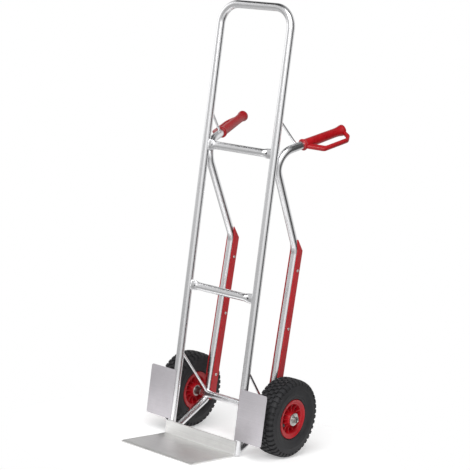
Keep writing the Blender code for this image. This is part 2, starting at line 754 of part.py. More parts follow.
def make_rim_bolt(name, centre, finish, hub):
    """A bolt that clamps the rim halves together: head outside, riveted end inside."""
    seat = RIM_WEB + GAP
    profile = [
        (0.0, seat + 0.004), (0.0050, seat + 0.004), (0.0056, seat + 0.003), (0.0056, seat),
        (RIM_BOLT_RADIUS, seat), (RIM_BOLT_RADIUS, -seat), (0.0052, -seat),
        (0.0052, -seat - 0.004), (RIM_BOLT_RADIUS, -seat - 0.006), (0.0, -seat - 0.006),
    ]
    turned(name, profile, 8, finish, Matrix.Translation(centre), hub, closed=False)


def make_roller_bearing(side_name, finish, hub):
    """A caged row of rollers between the hub sleeve and the axle."""
    work = bmesh.new()
    for index in range(ROLLER_COUNT):
        angle = index * math.tau / ROLLER_COUNT
        centre = (ROLLER_CIRCLE * math.cos(angle), ROLLER_CIRCLE * math.sin(angle), 0.0)
        bmesh.ops.create_cone(
            work, cap_ends=True, segments=6, radius1=ROLLER_RADIUS, radius2=ROLLER_RADIUS,
            depth=2 * CAGE_HALF_LENGTH - CAGE_RING, matrix=Matrix.Translation(centre))
    mesh = bpy.data.meshes.new("roller_bearing_" + side_name)
    work.to_mesh(mesh)
    work.free()
    made = place("roller_bearing_" + side_name, mesh, finish, parent=hub)
    for end_name, end in (("near", -1), ("far", 1)):
        name = f"cage_{end_name}_{side_name}"
        ring = cylinder_mesh(name, HUB_SLEEVE_BORE - GAP, CAGE_RING, 18)
        middle = Matrix.Translation((0, 0, end * (CAGE_HALF_LENGTH - CAGE_RING / 2)))
        boolean(made, cutter(name, ring, middle, hub), "UNION")
    bore = cylinder_mesh("cage_bore_" + side_name, AXLE_RADIUS + 2 * GAP, 0.1, 18)
    boolean(made, cutter("cage_bore_" + side_name, bore, parent=hub))


def make_hub_sleeve(side_name, finish, hub):
    """The steel sleeve in the rim's bore that the rollers run in."""
    half = HUB_HALF_LENGTH
    profile = [(HUB_SLEEVE_RADIUS, half), (HUB_SLEEVE_RADIUS, -half),
               (HUB_SLEEVE_BORE, -half), (HUB_SLEEVE_BORE, half)]
    turned("hub_sleeve_" + side_name, profile, 24, finish, parent=hub)


def make_wheel(side_name, side, finishes):
    """All pieces that turn together on one end of the axle."""
    hub = bpy.data.objects.new("wheel_axis_" + side_name, None)
    PARTS.objects.link(hub)
    hub.matrix_world = axis_matrix((side * WHEEL_X, AXLE_Y, AXLE_Z), (side, 0, 0), (0, 0, -1))
    make_tyre(side_name, finishes["tyre"], hub)
    frame = valve_matrix(side)
    make_inner_tube(side_name, finishes["inner"], hub, frame)
    make_valve_cap(side_name, finishes["black"], hub, frame)
    bolt_rooms = []
    for index, centre in enumerate(bolt_places(), start=1):
        name = f"rim_bolt_room_{side_name}_{index}"
        mesh = cylinder_mesh(name, RIM_BOLT_RADIUS + GAP, 0.03, 12)
        bolt_rooms.append(cutter(name, mesh, Matrix.Translation(centre), hub))
        make_rim_bolt(f"rim_bolt_{side_name}_{index}", centre, finishes["steel"], hub)
    valve_hole = cylinder_mesh("valve_hole_" + side_name, 0.0062, 0.034, 12)
    hole_place = frame @ Matrix.Translation((0, 0, 0.026))
    valve_room = cutter("valve_hole_" + side_name, valve_hole, hole_place, hub)
    make_rim_half("rim_outer_" + side_name, finishes["red"], hub, True, bolt_rooms + [valve_room])
    make_rim_half("rim_inner_" + side_name, finishes["red"], hub, False, bolt_rooms)
    make_hub_sleeve(side_name, finishes["steel"], hub)
    make_roller_bearing(side_name, finishes["steel"], hub)


# ---------------------------------------------------------------- assembly

def make_frame(finishes):
    """Everything that doesn't turn with a wheel."""
    tube, sheet, red, steel = (finishes[key] for key in ("tube", "sheet", "red", "steel"))
    axle_room = axle_cutter("axle_tube_room", GAP)
    notch = axle_cutter("skid_notch", 0.002)
    loop_rooms = {side: loop_cutter("loop_room_" + name, side) for name, side in SIDES}
    make_main_loop(tube)
    make_cross_tube("upper_cross_tube", UPPER_CROSS_Z, tube, loop_rooms.values())
    make_cross_tube("lower_cross_tube", LOWER_CROSS_Z, tube, loop_rooms.values())
    make_axle_tube(tube)
    make_axle_rod(steel)
    make_toe_plate(sheet)
    for side_name, side in SIDES:
        rivet_rooms = []
        for index, height in enumerate(SKID_RIVET_HEIGHTS, start=1):
            room_name = f"rivet_room_{side_name}_{index}"
            rivet_rooms.append(make_rivet_room(room_name, side, height))
            make_rivet(f"skid_rivet_{side_name}_{index}", side, height, steel)
        make_rear_tube(side_name, side, tube, [loop_rooms[side], axle_room] + rivet_rooms)
        make_skid(side_name, side, red, [notch] + rivet_rooms)
        make_grip(side_name, side, red)
        make_handle_brace(side_name, side, tube, loop_rooms[side])
        make_axle_strut(side_name, side, tube, loop_rooms[side], axle_room)
        make_wheel_guard(side_name, side, sheet)
        make_axle_hardware(side_name, side, steel)


def main():
    start_scene()
    finishes = make_materials()
    make_frame(finishes)
    for side_name, side in SIDES:
        make_wheel(side_name, side, finishes)


main()
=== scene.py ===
"""Looks of the hand truck: fine pieces, finishes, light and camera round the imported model.

Lengths are in metres, in the CAD's frame: +X right, the toe plate towards -Y, +Z up.
"""

import math

import bmesh
import bpy
from mathutils import Matrix, Vector


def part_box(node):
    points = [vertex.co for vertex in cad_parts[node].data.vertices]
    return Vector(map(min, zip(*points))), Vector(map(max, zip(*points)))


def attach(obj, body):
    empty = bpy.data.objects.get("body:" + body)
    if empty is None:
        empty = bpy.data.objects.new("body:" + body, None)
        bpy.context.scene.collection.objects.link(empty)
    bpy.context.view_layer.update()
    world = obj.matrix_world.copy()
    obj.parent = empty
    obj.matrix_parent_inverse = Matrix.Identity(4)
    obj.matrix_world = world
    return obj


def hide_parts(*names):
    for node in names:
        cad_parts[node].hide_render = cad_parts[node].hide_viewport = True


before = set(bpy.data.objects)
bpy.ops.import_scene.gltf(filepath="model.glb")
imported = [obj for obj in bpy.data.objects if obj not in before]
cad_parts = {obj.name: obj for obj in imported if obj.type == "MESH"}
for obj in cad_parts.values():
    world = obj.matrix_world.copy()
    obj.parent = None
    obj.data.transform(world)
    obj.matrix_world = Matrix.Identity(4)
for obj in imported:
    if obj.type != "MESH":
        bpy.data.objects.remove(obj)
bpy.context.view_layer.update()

# ---------------------------------------------------------------- dimensions of the CAD

GAP = 0.0003
SIDES = (("left", -1), ("right", 1))

TUBE_RADIUS = 0.013
TUBE_WALL = 0.002
HALF_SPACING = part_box("main_loop_tube")[1].x - TUBE_RADIUS
LOOP_Y = -0.023
LOOP_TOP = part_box("main_loop_tube")[1].z - TUBE_RADIUS
LOOP_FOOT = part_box("main_loop_tube")[0].z
LOOP_CORNER_RADIUS = 0.065
CROSS_HEIGHTS = (("upper", 0.981), ("lower", 0.513))
CROSS_END_HEIGHT = 0.0165
CROSS_END_DEPTH = 0.0048
SQUEEZE_START = HALF_SPACING - 0.046
SQUEEZE_END = HALF_SPACING - 0.024
SEAT_RADIUS = TUBE_RADIUS + 0.0001    # of a tube's end that is shaped to a tube
VENT_RADIUS = 0.003
VENT_X = HALF_SPACING - TUBE_RADIUS - 0.016

WHEEL_X = sum(corner.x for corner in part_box("tyre_right")) / 2
AXLE_Y = sum(corner.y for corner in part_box("axle_rod")) / 2
AXLE_Z = sum(corner.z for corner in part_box("axle_rod")) / 2
AXLE = Vector((0, AXLE_Y, AXLE_Z))
AXLE_RADIUS = 0.010
AXLE_TUBE_RADIUS = 0.0125
AXLE_TUBE_HALF_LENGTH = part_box("axle_tube")[1].x
PIN_X = 0.2520

FOOT_WELD = Vector((HALF_SPACING, LOOP_Y, 0.0097))
AXLE_BEND = Vector((0.1350, 0.1414, 0.1145))
REAR_BEND = Vector((0.1355, 0.165, 0.676))
HANDLE_BEND = Vector((HALF_SPACING, -0.0265, 0.978))
GRIP_TIP = Vector((0.209, 0.239, 1.082))
BEND_RADII = (0.060, 0.065, 0.040)    # at the handle, at the rear bend and round the axle
GRIP_LENGTH = 0.175
GRIP_RADII = ((0.0, 0.0190), (0.0050, 0.0190), (0.0078, 0.0180), (0.0120, 0.0162), (0.0300, 0.0158),
              (0.0900, 0.0153), (0.1350, 0.0148), (0.1500, 0.0152), (0.1600, 0.0168), (0.1665, 0.0184),
              (0.1728, 0.0184), (0.1742, 0.0178), (0.1750, 0.0166))    # at distances from its root
GUARD_TILT = math.radians(23.3)
GUARD_REACH = 0.061
GUARD_BAR = 0.0125

BRACE_RADIUS = 0.004
BRACE_TOP = Vector((0.1425, -0.012, 1.087))
BRACE_FOOT = Vector((0.1585, 0.064, 1.018))
STRUT_RADIUS = 0.0045
STRUT_TOP = Vector((0.1400, -0.014, 0.279))
STRUT_FOOT = Vector((0.1300, 0.124, 0.140))

SKID_HALF_WIDTH = 0.016
SKID_FOOT_Z = 0.110
SKID_TIP_Z = 0.708
SKID_FRONT = -0.007
SKID_BACK = 0.024
RIVET_HEIGHTS = (0.196, 0.410, 0.605)

TOE_HALF_WIDTH = 0.1495
TOE_FRONT_Y = -0.257
TOE_THICKNESS = 0.007
UPSTAND_TOP = 0.051

RIM_BOLT_CIRCLE = 0.0345
HUB_HALF_LENGTH = 0.0365
VALVE_ANGLE = math.radians(-60)
VALVE_TILT = math.radians(35)

LOOKS = {}    # for each look, its material and the name of its slot


# ---------------------------------------------------------------- small mesh tools

def mesh_object(name, verts, faces, uvs=None):
    """A mesh object from corners, faces and, where given, a UV pair for each face corner."""
    mesh = bpy.data.meshes.new(name)
    mesh.from_pydata([tuple(vert) for vert in verts], [], faces)
    if uvs:
        layer = mesh.uv_layers.new(name="UVMap")
        for index, pair in enumerate(uvs):
            layer.data[index].uv = pair
    made = bpy.data.objects.new(name, mesh)
    bpy.context.scene.collection.objects.link(made)
    return made


def skin(name, rings, joined=False, capped=False):
    """A closed-round skin over rings of points. Its UV runs round and along in metres."""
    sides, count = len(rings[0]), len(rings)
    along = [0.0]
    for near, far in zip(rings, rings[1:] + rings[:1]):
        along.append(along[-1] + (far[0] - near[0]).length)
    faces, uvs = [], []
    for step in range(count if joined else count - 1):
        near, far = step * sides, (step + 1) % count * sides
        low, high = along[step], along[step + 1]
        for side in range(sides):
            after = (side + 1) % sides
            faces.append((near + side, near + after, far + after, far + side))
            left, right = side / sides, (side + 1) / sides
            uvs += [(left, low), (right, low), (right, high), (left, high)]
    if capped:
        for ring in (0, count - 1):
            faces.append(tuple(range(ring * sides, (ring + 1) * sides)))
            uvs += [(0.5, along[ring])] * sides
    made = mesh_object(name, [point for ring in rings for point in ring], faces, uvs)
    rework(made, point_outwards)
    return made


def rework(made, change):
    """Run one change on a piece's mesh."""
    work = bmesh.new()
    work.from_mesh(made.data)
    change(work)
    work.to_mesh(made.data)
    work.free()


def point_outwards(work):
    """Make a closed mesh's normals point outwards."""
    bmesh.ops.recalc_face_normals(work, faces=work.faces)
    if work.calc_volume(signed=True) < 0:
        bmesh.ops.reverse_faces(work, faces=work.faces)


def axis_matrix(origin, axis, start):
    """A frame whose Z runs along axis and whose X is start made square to it."""
    z_axis = Vector(axis).normalized()
    x_axis = Vector(start) - z_axis * z_axis.dot(Vector(start))
    x_axis.normalize()
    y_axis = z_axis.cross(x_axis)
    turned = Matrix((x_axis, y_axis, z_axis)).transposed().to_4x4()
    return Matrix.Translation(origin) @ turned


def sideways(centre, side):
    """A frame at a place whose Z points out to one side of the truck."""
    return axis_matrix(centre, (side, 0, 0), (0, 0, -1))


def bent_path(corners, radii, steps):
    """Points along straight runs joined by arcs of the given radii."""
    points = [corners[0]]
    for index, radius in enumerate(radii, start=1):
        corner = corners[index]
        back = (corners[index - 1] - corner).normalized()
        ahead = (corners[index + 1] - corner).normalized()
        half = back.angle(ahead) / 2
        centre = corner + (back + ahead).normalized() * (radius / math.sin(half))
        first = corner + back * (radius / math.tan(half)) - centre
        last = corner + ahead * (radius / math.tan(half)) - centre
        axis = first.cross(last)
        sweep = first.angle(last)
        for step in range(steps + 1):
            points.append(centre + Matrix.Rotation(sweep * step / steps, 3, axis) @ first)
    points.append(corners[-1])
    return points


def path_frames(path, closed=False):
    """A point and two crosswise directions at each knot, carried along without twist."""
    count = len(path)
    frames = []
    side = None
    for index, point in enumerate(path):
        before = path[index - 1] if index or closed else point
        after = path[(index + 1) % count] if index < count - 1 or closed else point
        tangent = (after - before).normalized()
        if side is None:
            side = Vector((1, 0, 0)) if abs(tangent.x) < 0.8 else Vector((0, 1, 0))
        side = (side - tangent * tangent.dot(side)).normalized()
        frames.append((point, side, tangent.cross(side)))
    return frames


def round_rings(path, radius, sides, closed=False):
    """Rings of points round a path. The radius is a number or one number for each knot."""
    rings = []
    for index, (point, side, other) in enumerate(path_frames(path, closed)):
        size = radius[index] if isinstance(radius, list) else radius
        angles = [math.tau * step / sides for step in range(sides)]
        rings.append([point + side * (size * math.cos(angle)) + other * (size * math.sin(angle))
                      for angle in angles])
    return rings


def hollow_tube(name, path, radius, wall, sides):
    """A round tube with an open bore along a path."""
    outer = round_rings(path, radius, sides)
    inner = round_rings(path, radius - wall, sides)
    return skin(name, outer + inner[::-1], joined=True)


def solid_rod(name, path, radius, sides):
    """A solid rod along a path."""
    return skin(name, round_rings(path, radius, sides), capped=True)


def polar(matrix, radius, angle, height):
    """The point at a radius, an angle and a height about a frame's Z axis."""
    return matrix @ Vector((radius * math.cos(angle), radius * math.sin(angle), height))


def lathe(name, profile, sides, matrix, closed=True, carve=None):
    """A profile of (radius, height) turned round Z; carve may deepen a knot of it at an angle."""
    rings = []
    for step in range(sides):
        angle = math.tau * step / sides
        rings.append([polar(matrix, radius - (carve(knot, angle) if carve else 0.0), angle, height)
                      for knot, (radius, height) in enumerate(profile)])
    if closed:
        return skin(name, rings, joined=True)
    count = len(profile)
    faces = []
    for step in range(sides):
        near, far = step * count, (step + 1) % sides * count
        faces += [(near + knot, near + knot + 1, far + knot + 1, far + knot) for knot in range(count - 1)]
    made = mesh_object(name, [point for ring in rings for point in ring], faces)
    rework(made, lambda work: bmesh.ops.remove_doubles(work, verts=work.verts, dist=0.000005))
    rework(made, point_outwards)
    return made


def plate(name, outline, thickness, matrix):
    """A flat plate from an outline in its own XY plane."""
    count = len(outline)
    verts = [matrix @ Vector((across, up, height))
             for height in (-thickness / 2, thickness / 2) for across, up in outline]
    faces = [tuple(range(count)), tuple(range(2 * count - 1, count - 1, -1))]
    for index in range(count):
        after = (index + 1) % count
        faces.append((index, after, count + after, count + index))
    made = mesh_object(name, verts, faces)
    rework(made, point_outwards)
    return made


def rounded_outline(corners, radii, steps):
    """A closed flat outline whose corners are arcs; a radius of 0 stays sharp."""
    outline = []
    count = len(corners)
    for index, (corner, radius) in enumerate(zip(corners, radii)):
        if radius == 0:
            outline.append(corner)
            continue
        before = Vector((*corners[index - 1], 0.0))
        after = Vector((*corners[(index + 1) % count], 0.0))
        arc = bent_path([before, Vector((*corner, 0.0)), after], [radius], steps)
        outline.extend((point.x, point.y) for point in arc[1:-1])
    return outline


def bevel(made, width, segments, angle=35):
    """Round a piece's sharp edges."""
    modifier = made.modifiers.new("rounding", "BEVEL")
    modifier.width = width
    modifier.segments = segments
    modifier.limit_method = "ANGLE"
    modifier.angle_limit = math.radians(angle)
    apply_modifiers(made)


def apply_modifiers(made):
    """Turn a piece's modifiers into its mesh."""
    bpy.context.view_layer.update()
    depsgraph = bpy.context.evaluated_depsgraph_get()
    mesh = bpy.data.meshes.new_from_object(made.evaluated_get(depsgraph))
    made.modifiers.clear()
    made.data = mesh


def combine(made, tools, operation="DIFFERENCE"):
    """Cut a piece with tools, or join them to it, and remove the tools."""
    for tool in tools:
        modifier = made.modifiers.new(tool.name, "BOOLEAN")
        modifier.operation = operation
        modifier.object = tool
    apply_modifiers(made)
    for tool in tools:
        bpy.data.objects.remove(tool, do_unlink=True)


def rod_tool(start, end, radius, sides=64):
    """A round cutter between two points."""
    return solid_rod("tool", [Vector(start), Vector(end)], radius, sides)


def keep(made, body, look, *nodes, angle=38):
    """Shade a finished piece, give it its material and put it on its body."""
    made.data.shade_smooth()
    made.data.set_sharp_from_angle(angle=math.radians(angle))
    material, slot = LOOKS[look]
    made.data.materials.clear()
    made.data.materials.append(material)
    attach(made, body)
    if nodes:
        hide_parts(*nodes)


def mirrored(point, side):
    """The point on the given side of the truck."""
    return Vector((point.x * side, point.y, point.z))


# ---------------------------------------------------------------- materials

class Nodes:
    """The node tree of a material or a world, with short calls for what the finishes share."""

    def __init__(self, owner):
        owner.use_nodes = True
        self.owner = owner
        self.tree = owner.node_tree
        self.places = self.tree.nodes.new("ShaderNodeTexCoord")
        self.relief = None

    def give(self, socket, value):
        """Link a socket to another node's output, or set it to a number, a vector or a colour."""
        if isinstance(value, bpy.types.NodeSocket):
            self.tree.links.new(value, socket)
        else:
            socket.default_value = (*value, 1.0) if socket.type == "RGBA" else value

    def add(self, kind, values, result, **settings):
        """Add a node with its settings and input values, and return one of its outputs."""
        node = self.tree.nodes.new("ShaderNode" + kind)
        for name, setting in settings.items():
            setattr(node, name, setting)
        for name, value in values.items():
            self.give(node.inputs[name], value)
        return node.outputs[result]

    def place(self, scale, source="Object", turn=(0, 0, 0)):
        """Texture coordinates stretched by a scale for each axis."""
        values = {"Vector": self.places.outputs[source], "Scale": scale, "Rotation": turn}
        return self.add("Mapping", values, "Vector")

    def noise(self, scale, detail=4.0, roughness=0.55, distortion=0.0, place=None):
        """Cloudy noise, in the piece's own metres unless a place is given."""
        values = {"Vector": place or self.places.outputs["Object"], "Scale": scale, "Detail": detail,
                  "Roughness": roughness, "Distortion": distortion}
        return self.add("TexNoise", values, "Fac")

    def cells(self, scale, place=None, feature="F1"):
        """Distances in a pattern of cells."""
        values = {"Vector": place or self.places.outputs["Object"], "Scale": scale}
        return self.add("TexVoronoi", values, "Distance", feature=feature)

    def scratches(self, scale, turn, width):
        """Thin marks at cell borders: 1 on a mark and 0 beside it."""
        marks = self.cells(1.0, self.place(scale, turn=turn), "DISTANCE_TO_EDGE")
        return self.spread(marks, 0.0, width, 1.0, 0.0)

    def spread(self, value, low, high, start=0.0, end=1.0, curve="LINEAR"):
        """Map a value from one range to another, held at both ends."""
        values = {"Value": value, "From Min": low, "From Max": high, "To Min": start, "To Max": end}
        return self.add("MapRange", values, "Result", interpolation_type=curve)

    def sum(self, first, second):
        return self.add("Math", {0: first, 1: second}, 0, operation="ADD")

    def product(self, first, second):
        return self.add("Math", {0: first, 1: second}, 0, operation="MULTIPLY")

    def mix(self, factor, first, second):
        """Mix two colours by a factor."""
        return self.add("Mix", {"Factor": factor, "A": first, "B": second}, "Result", data_type="RGBA")

    def edges(self):
        """How sharply the surface turns outwards: 0.5 on flats, more on edges."""
        return self.add("NewGeometry", {}, "Pointiness")

    def bump(self, height, distance, strength):
        """Add one layer of relief to the surface."""
        values = {"Height": height, "Distance": distance, "Strength": strength}
        if self.relief is not None:
            values["Normal"] = self.relief
        self.relief = self.add("Bump", values, "Normal")

    def finish(self, colour, roughness, metallic=0.0, specular=0.5):
        """Give the shader its values and return the material."""
        values = {"Base Color": colour, "Roughness": roughness, "Metallic": metallic,
                  "Specular IOR Level": specular}
        if self.relief is not None:
            values["Normal"] = self.relief
        for name, value in values.items():
            self.give(self.tree.nodes["Principled BSDF"].inputs[name], value)
        return self.owner


def new_material(name):
    return Nodes(bpy.data.materials.new(name))


def tube_finish():
    """Bright drawn aluminium tube: die lines along it, a thin grey haze and small scratches."""
    nodes = new_material("tube_aluminium")
    lines = nodes.noise(1.0, 3.0, 0.6, place=nodes.place((150.0, 2.0, 1.0), "UV"))
    fine = nodes.noise(1.0, 2.0, place=nodes.place((420.0, 7.0, 1.0), "UV"))
    haze = nodes.noise(9.0, 3.0, 0.5, 0.4)
    scratch = nodes.scratches((40.0, 260.0, 90.0), (0.4, 0.7, 0.2), 0.012)
    tone = nodes.mix(nodes.spread(lines, 0.34, 0.66), (0.79, 0.79, 0.805), (0.90, 0.90, 0.91))
    tone = nodes.mix(nodes.spread(haze, 0.45, 0.75, 0.0, 0.30), tone, (0.74, 0.74, 0.75))
    rough = nodes.sum(nodes.spread(haze, 0.35, 0.70, 0.20, 0.25), nodes.spread(fine, 0.3, 0.7, 0.0, 0.05))
    rough = nodes.sum(rough, nodes.product(scratch, 0.08))
    nodes.bump(lines, 0.00006, 0.20)
    nodes.bump(fine, 0.00003, 0.20)
    return nodes.finish(tone, rough, 1.0)


def sheet_finish(name, light, dark, low, high):
    """Mill-finish aluminium sheet: rolling grain across it, stains, and handling scratches."""
    nodes = new_material(name)
    grain = nodes.noise(1.0, 4.0, 0.6, place=nodes.place((12.0, 700.0, 700.0)))
    stain = nodes.noise(9.0, 5.0, 0.6, 0.8)
    small = nodes.noise(55.0, 3.0)
    scratch = nodes.scratches((30.0, 130.0, 80.0), (0.2, 0.5, 0.9), 0.010)
    tone = nodes.mix(nodes.spread(grain, 0.3, 0.7), dark, light)
    tone = nodes.mix(nodes.spread(stain, 0.45, 0.75, 0.0, 0.35), tone, tuple(0.82 * part for part in dark))
    tone = nodes.mix(nodes.product(scratch, 0.30), tone, (0.86, 0.86, 0.87))
    rough = nodes.sum(nodes.spread(stain, 0.3, 0.7, low, high), nodes.spread(small, 0.3, 0.7, -0.04, 0.04))
    nodes.bump(grain, 0.00008, 0.30)
    nodes.bump(small, 0.00025, 0.12)
    return nodes.finish(tone, rough, 1.0)


def weld_finish():
    """Aluminium weld bead: satin crests and a grey heat stain in the valleys."""
    nodes = new_material("weld_bead")
    speck = nodes.noise(420.0, 4.0, 0.65)
    crest = nodes.spread(nodes.edges(), 0.44, 0.56)
    tone = nodes.mix(crest, (0.42, 0.42, 0.43), (0.84, 0.84, 0.85))
    tone = nodes.mix(nodes.spread(speck, 0.45, 0.7, 0.0, 0.4), tone, (0.60, 0.60, 0.60))
    nodes.bump(speck, 0.0003, 0.4)
    return nodes.finish(tone, nodes.spread(speck, 0.3, 0.7, 0.28, 0.46), 1.0)


def plastic_finish(name, deep, bright, grain_scale, gloss, scuffed):
    """Moulded plastic: fine pebble grain, uneven colour, paler scuffs on edges."""
    nodes = new_material(name)
    cloud = nodes.noise(22.0, 4.0, 0.6)
    wipe = nodes.noise(16.0, 5.0, 0.7, 0.5, nodes.place((9.0, 9.0, 2.2), turn=(0.1, 0.1, 0.0)))
    tone = nodes.mix(nodes.spread(cloud, 0.3, 0.7), deep, bright)
    edge = nodes.spread(nodes.edges(), 0.515, 0.60, 0.0, scuffed)
    worn = nodes.product(edge, nodes.spread(wipe, 0.40, 0.66))
    pale = tuple(0.55 * part + 0.16 for part in bright)
    tone = nodes.mix(worn, tone, pale)
    tone = nodes.mix(nodes.spread(wipe, 0.60, 0.82, 0.0, 0.22 * scuffed), tone, pale)
    rough = nodes.spread(cloud, 0.3, 0.7, gloss, gloss + 0.10)
    rough = nodes.sum(rough, nodes.spread(wipe, 0.4, 0.8, 0.0, 0.12))
    nodes.bump(nodes.cells(grain_scale), 0.00020, 0.30)
    nodes.bump(nodes.noise(950.0, 2.0), 0.00006, 0.40)
    return nodes.finish(tone, rough, 0.0, 0.45)


def tyre_finish():
    """Black rubber: pores, dull dust in the low places and a painted highlight that lightens the crests."""
    nodes = new_material("tyre_rubber")
    mottle = nodes.noise(40.0, 6.0, 0.65)
    dust = nodes.noise(12.0, 5.0, 0.7, 0.4)
    tone = nodes.mix(nodes.spread(mottle, 0.35, 0.70), (0.011, 0.011, 0.0125), (0.025, 0.025, 0.028))
    low = nodes.spread(nodes.edges(), 0.42, 0.50, 0.55, 0.0)
    low = nodes.product(low, nodes.spread(dust, 0.35, 0.60))
    tone = nodes.mix(low, tone, (0.040, 0.039, 0.037))
    # Painted highlight: the tread's convex crests are coloured lighter, a sheen painted into the colour.
    crest = nodes.spread(nodes.edges(), 0.52, 0.62, 0.0, 0.55)
    tone = nodes.mix(crest, tone, (0.058, 0.058, 0.061))
    nodes.bump(mottle, 0.00050, 0.35)
    nodes.bump(nodes.cells(520.0), 0.00018, 0.45)
    return nodes.finish(tone, nodes.spread(mottle, 0.3, 0.7, 0.52, 0.72), 0.0, 0.38)


def metal_finish(name, light, dark, low, high):
    """Plated or machined steel: turning marks, cloudy plating and small dark specks."""
    nodes = new_material(name)
    cloud = nodes.noise(60.0, 5.0, 0.65)
    turning = nodes.noise(1.0, 2.0, place=nodes.place((900.0, 60.0, 60.0)))
    speck = nodes.noise(380.0, 3.0, 0.7)
    tone = nodes.mix(nodes.spread(cloud, 0.35, 0.68), light, dark)
    tone = nodes.mix(nodes.spread(speck, 0.66, 0.80, 0.0, 0.5), tone, (0.24, 0.23, 0.21))
    rough = nodes.sum(nodes.spread(cloud, 0.3, 0.7, low, high), nodes.spread(turning, 0.3, 0.7, 0.0, 0.08))
    nodes.bump(turning, 0.00006, 0.35)
    return nodes.finish(tone, rough, 1.0)


def make_materials():
    """Every finish, with the name of its slot."""
    reds = (
        ("grip_red", (0.33, 0.003, 0.007), (0.46, 0.006, 0.011), 420.0, 0.23, 0.15),
        ("rim_red", (0.36, 0.004, 0.010), (0.50, 0.008, 0.015), 300.0, 0.28, 0.20),
        ("skid_red", (0.42, 0.004, 0.010), (0.54, 0.008, 0.015), 350.0, 0.40, 0.15),
    )
    butyl = ("butyl", (0.020, 0.020, 0.022), (0.035, 0.035, 0.037), 300.0, 0.50, 0.0)
    black = ("cap_black", (0.016, 0.016, 0.017), (0.030, 0.030, 0.031), 400.0, 0.42, 0.30)
    metals = (
        ("zinc_steel", (0.78, 0.78, 0.76), (0.60, 0.60, 0.58), 0.26, 0.42),
        ("oiled_steel", (0.40, 0.39, 0.38), (0.27, 0.26, 0.25), 0.24, 0.38),
    )
    sheets = (
        ("toe_sheet", (0.86, 0.855, 0.84), (0.75, 0.748, 0.74), 0.46, 0.56),
        ("guard_sheet", (0.63, 0.605, 0.635), (0.57, 0.548, 0.575), 0.46, 0.55),
    )
    LOOKS["tube"] = (tube_finish(), "tube_aluminium")
    LOOKS["weld"] = (weld_finish(), "tube_aluminium")
    LOOKS["tyre"] = (tyre_finish(), "tyre_rubber")
    LOOKS["butyl"] = (plastic_finish(*butyl), "butyl_rubber")
    LOOKS["cap_black"] = (plastic_finish(*black), "black_plastic")
    for values in reds:
        LOOKS[values[0]] = (plastic_finish(*values), "red_plastic")
    for values in metals:
        LOOKS[values[0]] = (metal_finish(*values), "zinc_plated_steel")
    for values in sheets:
        LOOKS[values[0]] = (sheet_finish(*values), "sheet_aluminium")


# ---------------------------------------------------------------- weld beads

RIPPLE = 0.0022
SEAM_X = 0.0052    # from a tube's middle to a weld in the corner beside it
FACES = (("inner", -1), ("outer", 1))


def nearest_on_path(point, path):
    """The point of a polyline nearest to a point."""
    spots = []
    for start, end in zip(path, path[1:]):
        run = end - start
        spots.append(start + run * min(1.0, max(0.0, (point - start).dot(run) / run.length_squared)))
    return min(spots, key=lambda spot: (spot - point).length)


def settle(points, surfaces):
    """Move points onto the line where two round surfaces meet."""
    settled = []
    for point in points:
        for _ in range(14):
            for path, radius in surfaces:
                spot = nearest_on_path(point, path)
                point = spot + (point - spot).normalized() * radius
        settled.append(point)
    return settled


def even_spaced(points, pitch, closed=True):
    """The same line with knots a fixed pitch apart."""
    line = points + ([points[0]] if closed else [])
    lengths = [0.0]
    for start, end in zip(line, line[1:]):
        lengths.append(lengths[-1] + (end - start).length)
    count = max(6, round(lengths[-1] / pitch))
    spaced, index = [], 0
    for step in range(count if closed else count + 1):
        target = lengths[-1] * step / count
        while index < len(line) - 2 and lengths[index + 1] < target:
            index += 1
        share = (target - lengths[index]) / (lengths[index + 1] - lengths[index])
        spaced.append(line[index].lerp(line[index + 1], min(1.0, share)))
    return spaced


def bead(name, points, size, closed=True):
    """A rippled weld bead along a line, each ripple lapping the one before."""
    knots = 5    # for each ripple
    line = even_spaced(points, RIPPLE / knots, closed)
    sizes = []
    for index in range(len(line)):
        phase = index / knots % 1.0
        swell = 0.80 + 0.20 * math.sqrt(max(0.0, 1 - (2 * phase - 1) ** 2))
        wander = 1 + 0.06 * math.sin(index * 0.61) + 0.04 * math.sin(index * 0.23 + 1.0)
        sizes.append(size * swell * wander)
    if not closed:
        for index in range(4):
            sizes[index] *= 0.55 + 0.11 * index
            sizes[-1 - index] *= 0.55 + 0.11 * index
    rings = round_rings(line, sizes, 8, closed)
    keep(skin(name, rings, joined=closed, capped=not closed), "frame", "weld", angle=80)


def seam(name, x, y, low, high, size):
    """An upright weld bead between two heights."""
    bead(name, [Vector((x, y, low)), Vector((x, y, high))], size, closed=False)


def circle(centre, axis, radius, count):
    """Points on a circle round an axis."""
    turn = axis_matrix(centre, axis, (0.3, 0.4, 0.85))
    return [polar(turn, radius, math.tau * step / count, 0.0) for step in range(count)]


# ---------------------------------------------------------------- frame tubes

def loop_path():
    """The loop tube's axis from foot to foot."""
    corners = [Vector((side * HALF_SPACING, LOOP_Y, height))
               for side, height in ((-1, LOOP_FOOT), (-1, LOOP_TOP), (1, LOOP_TOP), (1, LOOP_FOOT))]
    return bent_path(corners, [LOOP_CORNER_RADIUS] * 2, 28)


def loop_side(side):
    """The axis of one side tube of the loop."""
    return [Vector((side * HALF_SPACING, LOOP_Y, height)) for height in (-0.05, LOOP_TOP - 0.08)]


def make_loop():
    made = hollow_tube("loop_tube", loop_path(), TUBE_RADIUS, TUBE_WALL, 56)
    keep(made, "frame", "tube", "main_loop_tube")


def cross_section(position):
    """Half height and half depth of a cross tube at a distance from its middle."""
    share = min(1.0, max(0.0, (abs(position) - SQUEEZE_START) / (SQUEEZE_END - SQUEEZE_START)))
    share = share * share * (3 - 2 * share)
    height = TUBE_RADIUS + (CROSS_END_HEIGHT - TUBE_RADIUS) * share
    depth = TUBE_RADIUS + (CROSS_END_DEPTH - TUBE_RADIUS) * share
    return height, depth


